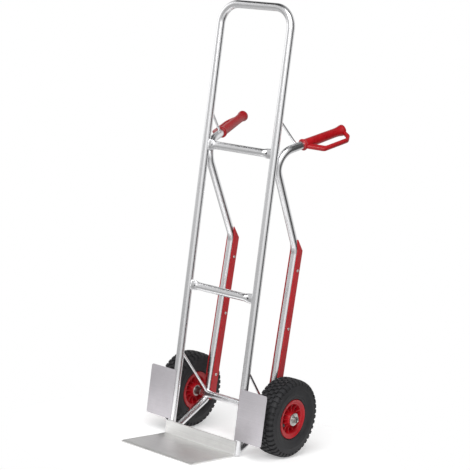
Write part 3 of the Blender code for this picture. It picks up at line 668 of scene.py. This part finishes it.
def cross_rings(height, wall, sides):
    """Rings of a cross tube; the end rings are shaped to the loop's round sides."""
    squeeze = [SQUEEZE_START + (SQUEEZE_END - SQUEEZE_START) * step / 8 for step in range(9)]
    half = [0.0, 0.04, 0.08] + squeeze + [HALF_SPACING - 0.012]
    places = [-place for place in half[::-1]] + half[1:]
    rings = []
    for index, place in enumerate(places):
        half_height, half_depth = cross_section(place)
        half_height -= wall * 1.3
        half_depth -= wall
        ring = []
        for step in range(sides):
            angle = math.tau * step / sides
            across = half_depth * math.sin(angle)
            position = place
            if index in (0, len(places) - 1):
                position = math.copysign(HALF_SPACING - math.sqrt(SEAT_RADIUS ** 2 - across ** 2), place)
            ring.append(Vector((position, LOOP_Y + across, height + half_height * math.cos(angle))))
        rings.append(ring)
    return rings


def make_cross_tube(name, height):
    outer = cross_rings(height, 0.0, 48)
    inner = cross_rings(height, TUBE_WALL, 48)
    made = skin(name + "_cross", outer + inner[::-1], joined=True)
    rework(made, lambda work: bmesh.ops.triangulate(work, faces=work.faces))
    combine(made, [rod_tool((side * VENT_X, LOOP_Y - 0.03, height), (side * VENT_X, LOOP_Y + 0.03, height),
                            VENT_RADIUS, 22) for _, side in SIDES])
    keep(made, "frame", "tube", name + "_cross_tube", angle=50)
    for side_name, ring in (("left", outer[0]), ("right", outer[-1])):
        bead(f"weld_{name}_cross_{side_name}", ring, 0.0019)


def rear_path(side):
    """The axis of a rear tube from inside the grip down to the loop's foot."""
    tip, direction = handle_axis(side)
    corners = [tip - direction * 0.008, mirrored(HANDLE_BEND, side), mirrored(REAR_BEND, side),
               mirrored(AXLE_BEND, side), mirrored(FOOT_WELD, side)]
    return bent_path(corners, BEND_RADII, 20)


def handle_axis(side):
    """The grip's tip and the direction from the tube's bend to that tip."""
    tip = mirrored(GRIP_TIP, side)
    return tip, (tip - mirrored(HANDLE_BEND, side)).normalized()


def axle_line(reach=AXLE_TUBE_HALF_LENGTH):
    return [Vector((-reach, AXLE_Y, AXLE_Z)), Vector((reach, AXLE_Y, AXLE_Z))]


def make_rear_tube(name, side):
    path = rear_path(side)
    tube, loop, axle = (path, TUBE_RADIUS), (loop_side(side), TUBE_RADIUS), (axle_line(), AXLE_TUBE_RADIUS)
    made = hollow_tube("rear_tube_fine_" + name, *tube, TUBE_WALL, 48)
    combine(made, [rod_tool(*loop[0], SEAT_RADIUS), rod_tool(*axle_line(0.2), AXLE_TUBE_RADIUS + 0.0001)])
    keep(made, "frame", "tube", "rear_tube_" + name, angle=50)
    run = (path[-1] - path[-2]).normalized()
    foot = circle(mirrored(FOOT_WELD, side) - run * 0.016, run, TUBE_RADIUS, 48)
    bead("weld_rear_foot_" + name, settle(foot, [tube, loop]), 0.0017)
    notch = circle((side * 0.135, 0.1290, AXLE_Z), (0, 1, 0), 0.0115, 56)
    bead("weld_axle_" + name, settle(notch, [tube, axle]), 0.0019)
    touch = min(path, key=lambda knot: abs(knot.y - LOOP_Y - 2 * TUBE_RADIUS))
    y = LOOP_Y + TUBE_RADIUS - 0.0006
    for face, turn in FACES:
        x = side * HALF_SPACING + turn * SEAM_X
        seam(f"weld_handle_{face}_{name}", x, y, touch.z - 0.016, touch.z + 0.016, 0.0021)


def make_axle_tube():
    half = AXLE_TUBE_HALF_LENGTH
    radius = AXLE_TUBE_RADIUS
    end = [(0.0104, half), (radius - 0.0004, half), (radius, half - 0.0004), (radius, 0.4 * half)]
    profile = end + [(across, -along) for across, along in end[::-1]]
    rings = [[polar(sideways(AXLE, 1), across, math.tau * step / 64, along) for step in range(64)]
             for across, along in profile]
    keep(skin("axle_tube_fine", rings, joined=True), "frame", "tube", "axle_tube")


def make_rod(name, start, end, radius, tubes):
    """A bracing rod, shaped to the tubes at its two ends and welded round both."""
    made = solid_rod(name + "_fine", [start.lerp(end, step / 12) for step in range(13)], radius, 28)
    combine(made, [rod_tool(line[0], line[-1], size + 0.0001) for line, size in tubes])
    keep(made, "frame", "tube", name, angle=50)
    run = (end - start).normalized()
    places = (start + run * 0.012, end - run * 0.012)
    for label, place, tube in zip(("top", "foot"), places, tubes):
        around = circle(place, run, radius, 28)
        bead(f"weld_{name}_{label}", settle(around, [([start, end], radius), tube]), 0.0013)


def make_rods(name, side):
    tip, direction = handle_axis(side)
    loop = (loop_side(side), TUBE_RADIUS)
    handle = ([tip - direction * 0.26, tip - direction * 0.10], TUBE_RADIUS)
    make_rod("handle_brace_" + name, mirrored(BRACE_TOP, side), mirrored(BRACE_FOOT, side), BRACE_RADIUS,
             (loop, handle))
    make_rod("axle_strut_" + name, mirrored(STRUT_TOP, side), mirrored(STRUT_FOOT, side), STRUT_RADIUS,
             (loop, (axle_line(), AXLE_TUBE_RADIUS)))


# ---------------------------------------------------------------- sheet parts

def quarter(middle, radius, start, steps):
    """Points on a quarter circle in a flat section, from the start angle on."""
    angles = [start + math.pi / 2 * step / steps for step in range(steps + 1)]
    y, z = middle
    return [(y + radius * math.cos(angle), z + radius * math.sin(angle)) for angle in angles]


def toe_outline():
    """Section of the toe plate as (Y, Z): blade with a thinned lip, bend and upstand."""
    front = TOE_FRONT_Y
    back = LOOP_Y - TUBE_RADIUS - GAP
    face = back - TOE_THICKNESS
    outer, inner = 0.0115, 0.0045
    line = [(front, 0.0006), (front + 0.0006, 0.0)]
    line += quarter((back - outer, outer), outer, -math.pi / 2, 14)
    line += [(back, UPSTAND_TOP - 0.0015), (back - 0.0015, UPSTAND_TOP), (face + 0.0015, UPSTAND_TOP),
             (face, UPSTAND_TOP - 0.0015)]
    line += quarter((face - inner, TOE_THICKNESS + inner), inner, -math.pi / 2, 12)[::-1]
    line += [(front + 0.011, TOE_THICKNESS), (front + 0.0095, TOE_THICKNESS - 0.0002),
             (front + 0.0006, 0.0042), (front, 0.0036)]
    return line


def make_toe_plate():
    half = [0.0, 0.05, 0.10, TOE_HALF_WIDTH - 0.0008, TOE_HALF_WIDTH]
    places = [-place for place in half[:0:-1]] + half
    made = skin("toe_plate_fine", [[Vector((place, y, z)) for y, z in toe_outline()] for place in places],
                capped=True)
    bevel(made, 0.0007, 3, 60)
    keep(made, "frame", "toe_sheet", "toe_plate", angle=30)
    y = LOOP_Y - TUBE_RADIUS + 0.0008
    for name, side in SIDES:
        for face, turn in FACES:
            seam(f"weld_toe_{face}_{name}", side * HALF_SPACING + turn * SEAM_X, y, 0.018, 0.049, 0.0019)


def make_wheel_guard(name, side):
    low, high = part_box("wheel_guard_" + name)
    corners = [(low.x, low.z), (high.x, low.z), (high.x, high.z), (low.x, high.z)]
    radii = [0.007 if abs(across) > 0.2 else 0.0012 for across, _ in corners]
    upright = Matrix.Translation((0, (low.y + high.y) / 2, 0)) @ Matrix.Rotation(math.pi / 2, 4, "X")
    made = plate("guard_plate_" + name, rounded_outline(corners, radii, 8), high.y - low.y, upright)
    bevel(made, 0.00035, 2, 60)
    keep(made, "frame", "guard_sheet", "wheel_guard_" + name, angle=30)
    middle = (low.z + high.z) / 2 - 0.011
    for label, start in (("top", high.z - 0.030), ("middle", middle), ("foot", low.z + 0.006)):
        seam(f"weld_guard_{label}_{name}", side * (HALF_SPACING + 0.0062), LOOP_Y - TUBE_RADIUS + 0.0014,
             start, start + 0.022, 0.0016)


# ---------------------------------------------------------------- plastic parts

def between(knots, place):
    """The value at a place on a line of (place, value) knots."""
    for (start, first), (end, second) in zip(knots, knots[1:]):
        if place <= end:
            return first + (second - first) * (place - start) / (end - start)
    return knots[-1][1]


def make_grip(name, side):
    """A sleeve with a flange at its root, a swelling at its tip and fine flutes between them."""
    tip, direction = handle_axis(side)
    root = tip - direction * GRIP_LENGTH
    along = axis_matrix(root, direction, (0, 0, -1))
    angles = [math.tau * step / 96 for step in range(96)]
    rings = [[polar(along, TUBE_RADIUS + GAP, angle, place) for angle in angles]
             for place in (GRIP_LENGTH - 0.004, 0.0)]
    places = [0.0, 0.0012, 0.0050, 0.0064, 0.0078, 0.0100, 0.0120]
    places += [0.016 + 0.0067 * step for step in range(21)]
    places += [0.1550, 0.1600, 0.1640, 0.1665, 0.1690, 0.1712, 0.1728, 0.1740, 0.1747, 0.1750]
    for place in places:
        radius = between(GRIP_RADII, place) - (0.0008 if place == 0.0 else 0.0)
        depth = 0.00032 * min(1.0, max(0.0, min(place - 0.016, 0.150 - place) / 0.006))
        rings.append([polar(along, radius - depth * (0.5 - 0.5 * math.cos(angle * 24)), angle, place)
                      for angle in angles])
    made = skin("grip_body_" + name, rings, capped=True)
    combine(made, [make_guard_bar(name, side, root, direction)], "UNION")
    keep(made, "frame", "grip_red", "grip_" + name, angle=42)


def make_guard_bar(name, side, root, direction):
    """The knuckle guard: a flat loop with rounded edges beside the grip."""
    level_out = Vector((direction.y, -direction.x, 0.0)).normalized() * side
    upward = level_out.cross(direction) * side
    outward = level_out * math.cos(GUARD_TILT) - upward * math.sin(GUARD_TILT)
    inner = GUARD_REACH - 0.0135
    seat = 0.0138
    corners = [(0.002, seat), (0.007, 0.021), (0.044, GUARD_REACH), (0.147, GUARD_REACH), (0.1685, 0.042),
               (0.173, seat), (0.162, seat), (0.157, 0.036), (0.146, inner), (0.058, inner), (0.036, 0.024),
               (0.024, seat)]
    radii = [0, 0.004, 0.018, 0.020, 0.016, 0, 0, 0.008, 0.008, 0.012, 0.012, 0]
    flat = Matrix((direction, outward, direction.cross(outward))).transposed().to_4x4()
    made = plate("guard_bar_" + name, rounded_outline(corners, radii, 8), GUARD_BAR,
                 Matrix.Translation(root) @ flat)
    bevel(made, 0.0032, 4, 70)
    return made


def rear_tube_y(height):
    """Y of the lower rear tube's axis at a height."""
    share = (height - AXLE_BEND.z) / (REAR_BEND.z - AXLE_BEND.z)
    return AXLE_BEND.y + (REAR_BEND.y - AXLE_BEND.y) * share


def make_skid(name, side):
    foot_y = rear_tube_y(SKID_FOOT_Z)
    bend_y, bend_z = REAR_BEND.y, REAR_BEND.z
    corners = [(foot_y + SKID_FRONT, SKID_FOOT_Z), (foot_y + SKID_BACK, SKID_FOOT_Z),
               (bend_y + SKID_BACK - 0.003, bend_z - 0.004), (bend_y - 0.0115, SKID_TIP_Z + 0.001),
               (bend_y - 0.0155, SKID_TIP_Z), (bend_y + SKID_FRONT, bend_z)]
    outline = rounded_outline(corners, [0.002, 0.005, 0.007, 0.0015, 0.0015, 0.010], 5)
    upright = axis_matrix((side * AXLE_BEND.x, 0, 0), (1, 0, 0), (0, 1, 0))
    made = plate("skid_channel_" + name, outline, 2 * SKID_HALF_WIDTH, upright)
    bevel(made, 0.0018, 4, 60)
    low_y = rear_tube_y(SKID_FOOT_Z - 0.02)
    inner = SKID_BACK - 0.0025
    room = [(low_y - 0.03, SKID_FOOT_Z - 0.02), (low_y + inner, SKID_FOOT_Z - 0.02),
            (bend_y + inner - 0.001, bend_z - 0.01), (bend_y + inner - 0.001, bend_z + 0.06),
            (bend_y - 0.06, bend_z + 0.06)]
    tools = [plate("tool", room, 2 * (SKID_HALF_WIDTH - 0.002), upright),
             rod_tool(*axle_line(0.2), AXLE_TUBE_RADIUS + 0.002)]
    combine(made, tools)
    bevel(made, 0.0004, 2, 60)
    keep(made, "frame", "skid_red", "skid_" + name, angle=40)
    for index, height in enumerate(RIVET_HEIGHTS, start=1):
        make_rivet(name, side, index, height)


def make_rivet(name, side, index, height):
    seat = SKID_HALF_WIDTH + GAP
    dome = [(0.0, 0.0022), (0.0020, 0.0021), (0.0034, 0.0017), (0.0044, 0.0010), (0.0048, 0.0004),
            (0.0048, 0.0), (0.0024, 0.0)]
    half = [(radius, seat + lift) for radius, lift in dome]
    profile = half + [(radius, -lift) for radius, lift in half[::-1]]
    centre = (side * AXLE_BEND.x, rear_tube_y(height) + 0.009, height)
    made = lathe(f"rivet_{name}_{index}", profile, 28, sideways(centre, side), closed=False)
    keep(made, "frame", "zinc_steel", f"skid_rivet_{name}_{index}", angle=50)


# ---------------------------------------------------------------- axle hardware

def ring_profile(near, far, radius, bore, chamfer):
    return [(bore, near), (radius - chamfer, near), (radius, near + chamfer),
            (radius, far - chamfer), (radius - chamfer, far), (bore, far)]


def make_axle_rod():
    """The axle: a steel bar with chamfered ends, a centre hole in each and a hole for each split pin."""
    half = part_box("axle_rod")[1].x
    bore, depth = 0.0072, 0.0170
    profile = [(0.0, half - depth), (bore - 0.0010, half - depth), (bore, half - 0.0008),
               (bore + 0.0006, half), (AXLE_RADIUS - 0.0010, half), (AXLE_RADIUS, half - 0.0010)]
    profile += [(radius, -height) for radius, height in profile[::-1]]
    made = lathe("axle_rod_fine", profile, 64, sideways(AXLE, 1), closed=False)
    combine(made, [rod_tool((side * PIN_X, AXLE_Y, AXLE_Z - 0.02), (side * PIN_X, AXLE_Y, AXLE_Z + 0.02),
                            0.0021, 20) for _, side in SIDES])
    keep(made, "frame", "oiled_steel", "axle_rod")


def make_axle_hardware(name, side):
    """The spacer inside the wheel, the washer outside it and the split pin."""
    place = sideways(AXLE, side)
    bore = AXLE_RADIUS + 0.0002
    hub_start, hub_end = WHEEL_X - HUB_HALF_LENGTH - GAP, WHEEL_X + HUB_HALF_LENGTH + GAP
    inner = ring_profile(AXLE_TUBE_HALF_LENGTH + GAP, hub_start, 0.0130, bore, 0.0008)
    spacer = lathe("spacer_" + name, inner, 48, place)
    keep(spacer, "frame", "oiled_steel", "axle_spacer_" + name)
    outer = ring_profile(hub_end, hub_end + 0.003, 0.021, bore, 0.0006)
    washer = lathe("washer_" + name, outer, 64, place)
    keep(washer, "frame", "zinc_steel", "axle_washer_" + name)
    make_cotter_pin(name, side)


def make_cotter_pin(name, side):
    """A split pin: one wire doubled into two legs with an eye, its ends opened."""
    top = AXLE_Z + AXLE_RADIUS + 0.0050
    foot = AXLE_Z - AXLE_RADIUS
    leg, eye = 0.00085, 0.0030    # from the pin's middle to a leg, and the eye's radius
    line = [(-leg - 0.0022, foot - 0.0060), (-leg - 0.0010, foot - 0.0025), (-leg, foot), (-leg, top)]
    for step in range(1, 14):
        angle = math.radians(-118 + 356 / 14 * step)
        line.append((eye * math.cos(angle), top + 0.0040 + eye * math.sin(angle)))
    line += [(leg, top), (leg, foot), (leg + 0.0010, foot - 0.0025), (leg + 0.0022, foot - 0.0056)]
    path = [Vector((side * PIN_X, AXLE_Y + across, height)) for across, height in line]
    made = solid_rod("split_pin_" + name, path, 0.00080, 10)
    keep(made, "frame", "zinc_steel", "cotter_pin_" + name, angle=60)


# ---------------------------------------------------------------- wheels

PITCHES = 42
TREAD = ((0.1128, 0.0412), (0.1165, 0.0409), (0.1205, 0.0398), (0.1240, 0.0376), (0.1265, 0.0340),
         (0.1280, 0.0292), (0.1289, 0.0252), (0.1292, 0.0236), (0.1292, 0.0226), (0.1294, 0.0202),
         (0.1296, 0.0192), (0.1298, 0.0142), (0.1299, 0.0094), (0.1299, 0.0084), (0.1300, 0.0064),
         (0.1300, 0.0030), (0.1300, 0.0))
GROOVE_DEPTH = 0.0050


def tread_row(height):
    """Which row of blocks a place across the tread is in: 0 is a groove round the tyre."""
    across = abs(height)
    if across <= 0.0064:
        return 1
    if 0.0094 <= across <= 0.0192:
        return 2
    if across >= 0.0236:
        return 3
    return 0


def block_share(row, phase):
    """How far a place on the tread stands up: 1 on a block, 0 in a groove, sloped between them."""
    if row == 0:
        return 0.0
    if row == 2:
        phase += 0.5
    phase %= 1.0
    start, end, slope = 0.10, 0.62, 0.05
    return min(1.0, max(0.0, min(phase - start, end - phase) / slope + 1))


def tyre_profile():
    """The tyre's section from the outer bead over the tread to the inner bead, then inside."""
    wall = ((0.0660, 0.0262), (0.0664, 0.0300), (0.0680, 0.0338), (0.0706, 0.0364), (0.0722, 0.0372),
            (0.0730, 0.0380), (0.0742, 0.0384), (0.0754, 0.0382), (0.0764, 0.0380), (0.0800, 0.0398),
            (0.0850, 0.0412), (0.0900, 0.0419), (0.0950, 0.0421), (0.0962, 0.0424), (0.0972, 0.0425),
            (0.0982, 0.0424), (0.0992, 0.0420), (0.1040, 0.0417), (0.1090, 0.0411))
    outside = [(*point, False) for point in wall] + [(*point, True) for point in TREAD]
    lining = ((0.1185, 0.0), (0.1140, 0.0260), (0.0980, 0.0350), (0.0690, 0.0250), (0.0515, 0.0185),
              (0.0515, 0.0262))
    inside = [(*point, False) for point in lining]
    return outside + flipped(outside[:-1]) + flipped(inside[1:]) + inside


def flipped(profile):
    """The other half of a section, in reverse order."""
    return [(radius, -height, *rest) for radius, height, *rest in profile[::-1]]


def make_tyre(name, hub):
    profile = tyre_profile()
    phases = (0.0, 0.05, 0.10, 0.12, 0.17, 0.36, 0.55, 0.60, 0.62, 0.67, 0.76, 0.88)
    rings = []
    for pitch in range(PITCHES):
        for phase in phases:
            ring = []
            for radius, height, treaded in profile:
                if treaded:
                    row = tread_row(height)
                    fade = min(1.0, max(0.0, (radius - 0.1128) / 0.0040)) if row == 3 else 1.0
                    sink = GROOVE_DEPTH * (1 - block_share(row, phase)) * fade
                    slant = math.atan2(max(0.0, abs(height) - 0.018), 0.016)
                    radius -= sink * math.cos(slant)
                    height -= math.copysign(sink * math.sin(slant), height)
                ring.append(polar(hub, radius, math.tau * (pitch + phase) / PITCHES, height))
            rings.append(ring)
    keep(skin("tyre_tread_" + name, rings, joined=True), "wheel_" + name, "tyre", "tyre_" + name, angle=32)


RIB_COUNT = 12
RIM_FRONT = ((0.0653, 0.0290), (0.0653, 0.0330), (0.0649, 0.0340), (0.0638, 0.0345), (0.0624, 0.0341),
             (0.0612, 0.0328), (0.0596, 0.0317), (0.0565, 0.0312), (0.0530, 0.0309), (0.0511, 0.0302),
             (0.0499, 0.0286), (0.0490, 0.0262))
RIM_BACK = ((0.0183, 0.0002), (0.0490, 0.0002), (0.0512, 0.0266), (0.0630, 0.0266))
POCKET = ((0.0478, 0.0120), (0.0468, 0.0060), (0.0448, 0.0044), (0.0400, 0.0042), (0.0345, 0.0042),
          (0.0290, 0.0042), (0.0262, 0.0046), (0.0250, 0.0060), (0.0240, 0.0140), (0.0222, 0.0280))
RIM_HUB = ((0.0214, 0.0330), (0.0208, 0.0338), (0.0200, 0.0340), (0.0183, 0.0340))


def rib_share(angle):
    """1 on a rib of the rim, 0 in a pocket, with short sloped sides."""
    step = math.tau / RIB_COUNT
    gap = abs((angle + step / 2) % step - step / 2)
    half, slope = math.radians(1.6), math.radians(1.0)
    return min(1.0, max(0.0, (half + slope - gap) / slope))


def make_rim_half(name, label, hub, valve_tool):
    profile = RIM_FRONT + POCKET + RIM_HUB + RIM_BACK
    first, last = len(RIM_FRONT), len(RIM_FRONT) + len(POCKET)
    rings = []
    for rib in range(RIB_COUNT):
        for offset in (-2.6, -1.6, 0.0, 1.6, 2.6, 7.0, 12.0, 18.0, 23.0):
            angle = math.tau * rib / RIB_COUNT + math.radians(offset)
            ring = []
            for index, (radius, height) in enumerate(profile):
                if first <= index < last:
                    crest = 0.0255 - 0.0040 * math.sin(math.pi * (radius - 0.024) / 0.0245)
                    height += max(0.0, crest - height) * rib_share(angle)
                ring.append(polar(hub, radius, angle, height))
            rings.append(ring)
    made = skin(f"rim_{label}_fine_{name}", rings, joined=True)
    if valve_tool:
        combine(made, [valve_tool])
    keep(made, "wheel_" + name, "rim_red", f"rim_{label}_{name}", angle=40)


def hexagon(place, start, end, turn):
    """A six-sided head or nut with a narrower end."""
    rings = []
    for height, size in ((start, 0.0055), (start + (end - start) * 0.85, 0.0055), (end, 0.0055 * 0.90)):
        rings.append([polar(place, size, math.tau * step / 6 + turn, height) for step in range(6)])
    return skin("hexagon", rings, capped=True)


def make_bolt(name, index, place):
    """Hexagon head outside, hexagon nut and thread end inside."""
    seat = 0.0045
    profile = [(0.0, -0.0102), (0.0024, -0.0102), (0.0029, -0.0096), (0.0029, seat - 0.0001),
               (0.0064, seat - 0.0001), (0.0064, seat + 0.0010), (0.0, seat + 0.0010)]
    made = lathe(f"bolt_{name}_{index}", profile, 24, place, closed=False)
    head = hexagon(place, seat + 0.0006, seat + 0.0042, 0.3 * index)
    nut = hexagon(place, -seat - 0.0001, -seat - 0.0044, 0.5 * index)
    combine(made, [head, nut], "UNION")
    keep(made, "wheel_" + name, "zinc_steel", f"rim_bolt_{name}_{index}", angle=25)


def valve_frame(side):
    """The valve stem's line in the wheel's own frame."""
    radial = Vector((math.cos(VALVE_ANGLE), math.sin(VALVE_ANGLE) * side, 0.0))
    line = -radial * math.cos(VALVE_TILT) + Vector((0, 0, 1)) * math.sin(VALVE_TILT)
    return axis_matrix(radial * 0.0700, line, (0, 0, 1))


def make_valve_cap(name, matrix):
    end = 0.038
    profile = [(0.0, end + 0.0045), (0.0040, end + 0.0045), (0.0052, end + 0.0038), (0.0058, end + 0.0028),
               (0.0058, end - 0.0064), (0.0055, end - 0.0070), (0.0045, end - 0.0070),
               (0.0045, end + GAP), (0.0, end + GAP)]

    def knurl(knot, angle):
        return 0.0004 * (0.5 - 0.5 * math.cos(angle * 12)) if knot in (3, 4) else 0.0

    made = lathe("cap_" + name, profile, 72, matrix, closed=False, carve=knurl)
    keep(made, "wheel_" + name, "cap_black", "valve_cap_" + name, angle=45)


def make_wheel(name, side):
    hub = sideways((side * WHEEL_X, AXLE_Y, AXLE_Z), side)
    make_tyre(name, hub)
    valve = hub @ valve_frame(side)
    tool = rod_tool(valve @ Vector((0, 0, 0.009)), valve @ Vector((0, 0, 0.043)), 0.0062, 28)
    make_rim_half(name, "outer", hub, tool)
    make_rim_half(name, "inner", hub @ Matrix.Rotation(math.pi, 4, "X"), None)
    for index in range(4):
        centre = polar(Matrix(), RIM_BOLT_CIRCLE, math.radians(45 + 90 * index), 0.0)
        make_bolt(name, index + 1, hub @ Matrix.Translation(centre))
    make_valve_cap(name, valve)
    sleeve = ring_profile(-HUB_HALF_LENGTH, HUB_HALF_LENGTH, 0.018, 0.0152, 0.0006)
    keep(lathe("hub_" + name, sleeve, 56, hub), "wheel_" + name, "zinc_steel", "hub_sleeve_" + name)


# ---------------------------------------------------------------- kept CAD nodes

def finish_kept_nodes():
    """Give the CAD nodes that stay visible their finishes."""
    for node, look in (("inner_tube_", "butyl"), ("roller_bearing_", "oiled_steel")):
        for name, _ in SIDES:
            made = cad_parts[node + name]
            made.data.materials.clear()
            made.data.materials.append(LOOKS[look][0])


# ---------------------------------------------------------------- floor, light and camera

FRONT = Vector((0.6155, -0.7881, 0.0))   # level direction from the truck to the camera
RIGHT = Vector((0.7881, 0.6155, 0.0))
FLOOR_RADIUS = 0.65
ROOF_SHADE = Vector((-0.58, -0.10, 0.81)).normalized()
# Brightness of the studio wall by angle to the right of the camera, in degrees.
WALL_STRIPS = ((-180, 0.66), (-130, 0.78), (-97, 0.62), (-60, 0.62), (-38, 0.70), (-28, 0.45), (-18, 0.75),
               (-6, 1.00), (14, 1.00), (34, 0.78), (52, 0.55), (62, 0.04), (84, 0.04), (98, 0.50),
               (120, 0.92), (160, 0.72))


def make_floor():
    """A round white floor, lit evenly enough to run into the white studio behind it."""
    made = mesh_object("floor", circle((0, 0, -0.0004), (0, 0, 1), FLOOR_RADIUS, 96), [tuple(range(96))])
    nodes = new_material("floor_paper")
    tone = nodes.mix(nodes.spread(nodes.noise(3.0, 2.0), 0.3, 0.7), (0.90, 0.90, 0.90), (0.92, 0.92, 0.92))
    made.data.materials.append(nodes.finish(tone, 0.9, 0.0, 0.1))
    shader = nodes.tree.nodes["Principled BSDF"]
    shader.inputs["Emission Color"].default_value = (1.0, 1.0, 1.0, 1.0)
    shader.inputs["Emission Strength"].default_value = 0.33


def make_world():
    """A white studio with soft dark strips, which the bright tubes mirror."""
    world = bpy.data.worlds.new("studio")
    bpy.context.scene.world = world
    nodes = Nodes(world)

    def along(direction):
        values = {0: nodes.places.outputs["Generated"], 1: direction}
        return nodes.add("VectorMath", values, "Value", operation="DOT_PRODUCT")

    def soft(value, *ends):
        return nodes.spread(value, *ends, curve="SMOOTHSTEP")

    turn = nodes.add("Math", {0: along(RIGHT), 1: along(FRONT)}, 0, operation="ARCTAN2")
    strips = nodes.tree.nodes.new("ShaderNodeValToRGB")
    ramp = strips.color_ramp
    while len(ramp.elements) < len(WALL_STRIPS):
        ramp.elements.new(0.5)
    for element, (degrees, level) in zip(ramp.elements, WALL_STRIPS):
        element.position = degrees / 360 + 0.5
        element.color = (level, level, level, 1.0)
    nodes.give(strips.inputs["Fac"], nodes.spread(turn, -math.pi, math.pi))
    height = along((0, 0, 1))
    low = nodes.product(soft(height, -0.20, -0.10, 0.55, 1.0), soft(height, -0.60, -0.25, 1.5, 1.0))
    shade = soft(along(ROOF_SHADE), 0.80, 0.92, 1.0, 0.08)
    roof = nodes.product(shade, soft(height, 0.50, 0.85, 1.0, 0.45))
    level = nodes.product(nodes.product(strips.outputs["Color"], low), roof)
    seen = nodes.add("LightPath", {}, "Is Camera Ray")
    sky = nodes.tree.nodes["Background"]
    nodes.give(sky.inputs["Strength"], nodes.add("Mix", {"Factor": seen, "A": level, "B": 1.0}, "Result"))
    nodes.give(sky.inputs["Color"], (1.0, 1.0, 1.0))


def area_light(name, place, target, size, power):
    light = bpy.data.lights.new(name, "AREA")
    light.shape = "RECTANGLE"
    light.size, light.size_y = size
    light.energy = power
    made = bpy.data.objects.new(name, light)
    made.matrix_world = axis_matrix(place, Vector(place) - Vector(target), (0, 0, 1))
    bpy.context.scene.collection.objects.link(made)


def make_lights():
    area_light("key", (1.8, -3.6, 3.8), (0, 0, 0.6), (4.5, 3.6), 230)
    area_light("fill", (-3.4, -1.0, 2.4), (0, 0, 0.5), (3.4, 3.0), 26)


def make_camera():
    data = bpy.data.cameras.new("camera")
    data.sensor_width = 36.0
    data.lens = 110.28
    made = bpy.data.objects.new("camera", data)
    bpy.context.scene.collection.objects.link(made)
    azimuth, elevation, roll = (math.radians(angle) for angle in (37.98, 5.99, 7.22))
    turn = (Matrix.Rotation(azimuth, 4, "Z") @ Matrix.Rotation(math.pi / 2 - elevation, 4, "X")
            @ Matrix.Rotation(roll, 4, "Z"))
    made.matrix_world = Matrix.Translation((2.8724, -3.6705, 1.1900)) @ turn
    bpy.context.scene.camera = made
    bpy.context.scene.view_settings.view_transform = "Standard"


# ---------------------------------------------------------------- everything

make_camera()
make_materials()
make_loop()
for cross_name, cross_height in CROSS_HEIGHTS:
    make_cross_tube(cross_name, cross_height)
make_axle_tube()
make_axle_rod()
make_toe_plate()
for side_name, side_sign in SIDES:
    make_rear_tube(side_name, side_sign)
    make_rods(side_name, side_sign)
    make_wheel_guard(side_name, side_sign)
    make_grip(side_name, side_sign)
    make_skid(side_name, side_sign)
    make_axle_hardware(side_name, side_sign)
    make_wheel(side_name, side_sign)
finish_kept_nodes()
make_floor()
make_world()
make_lights()
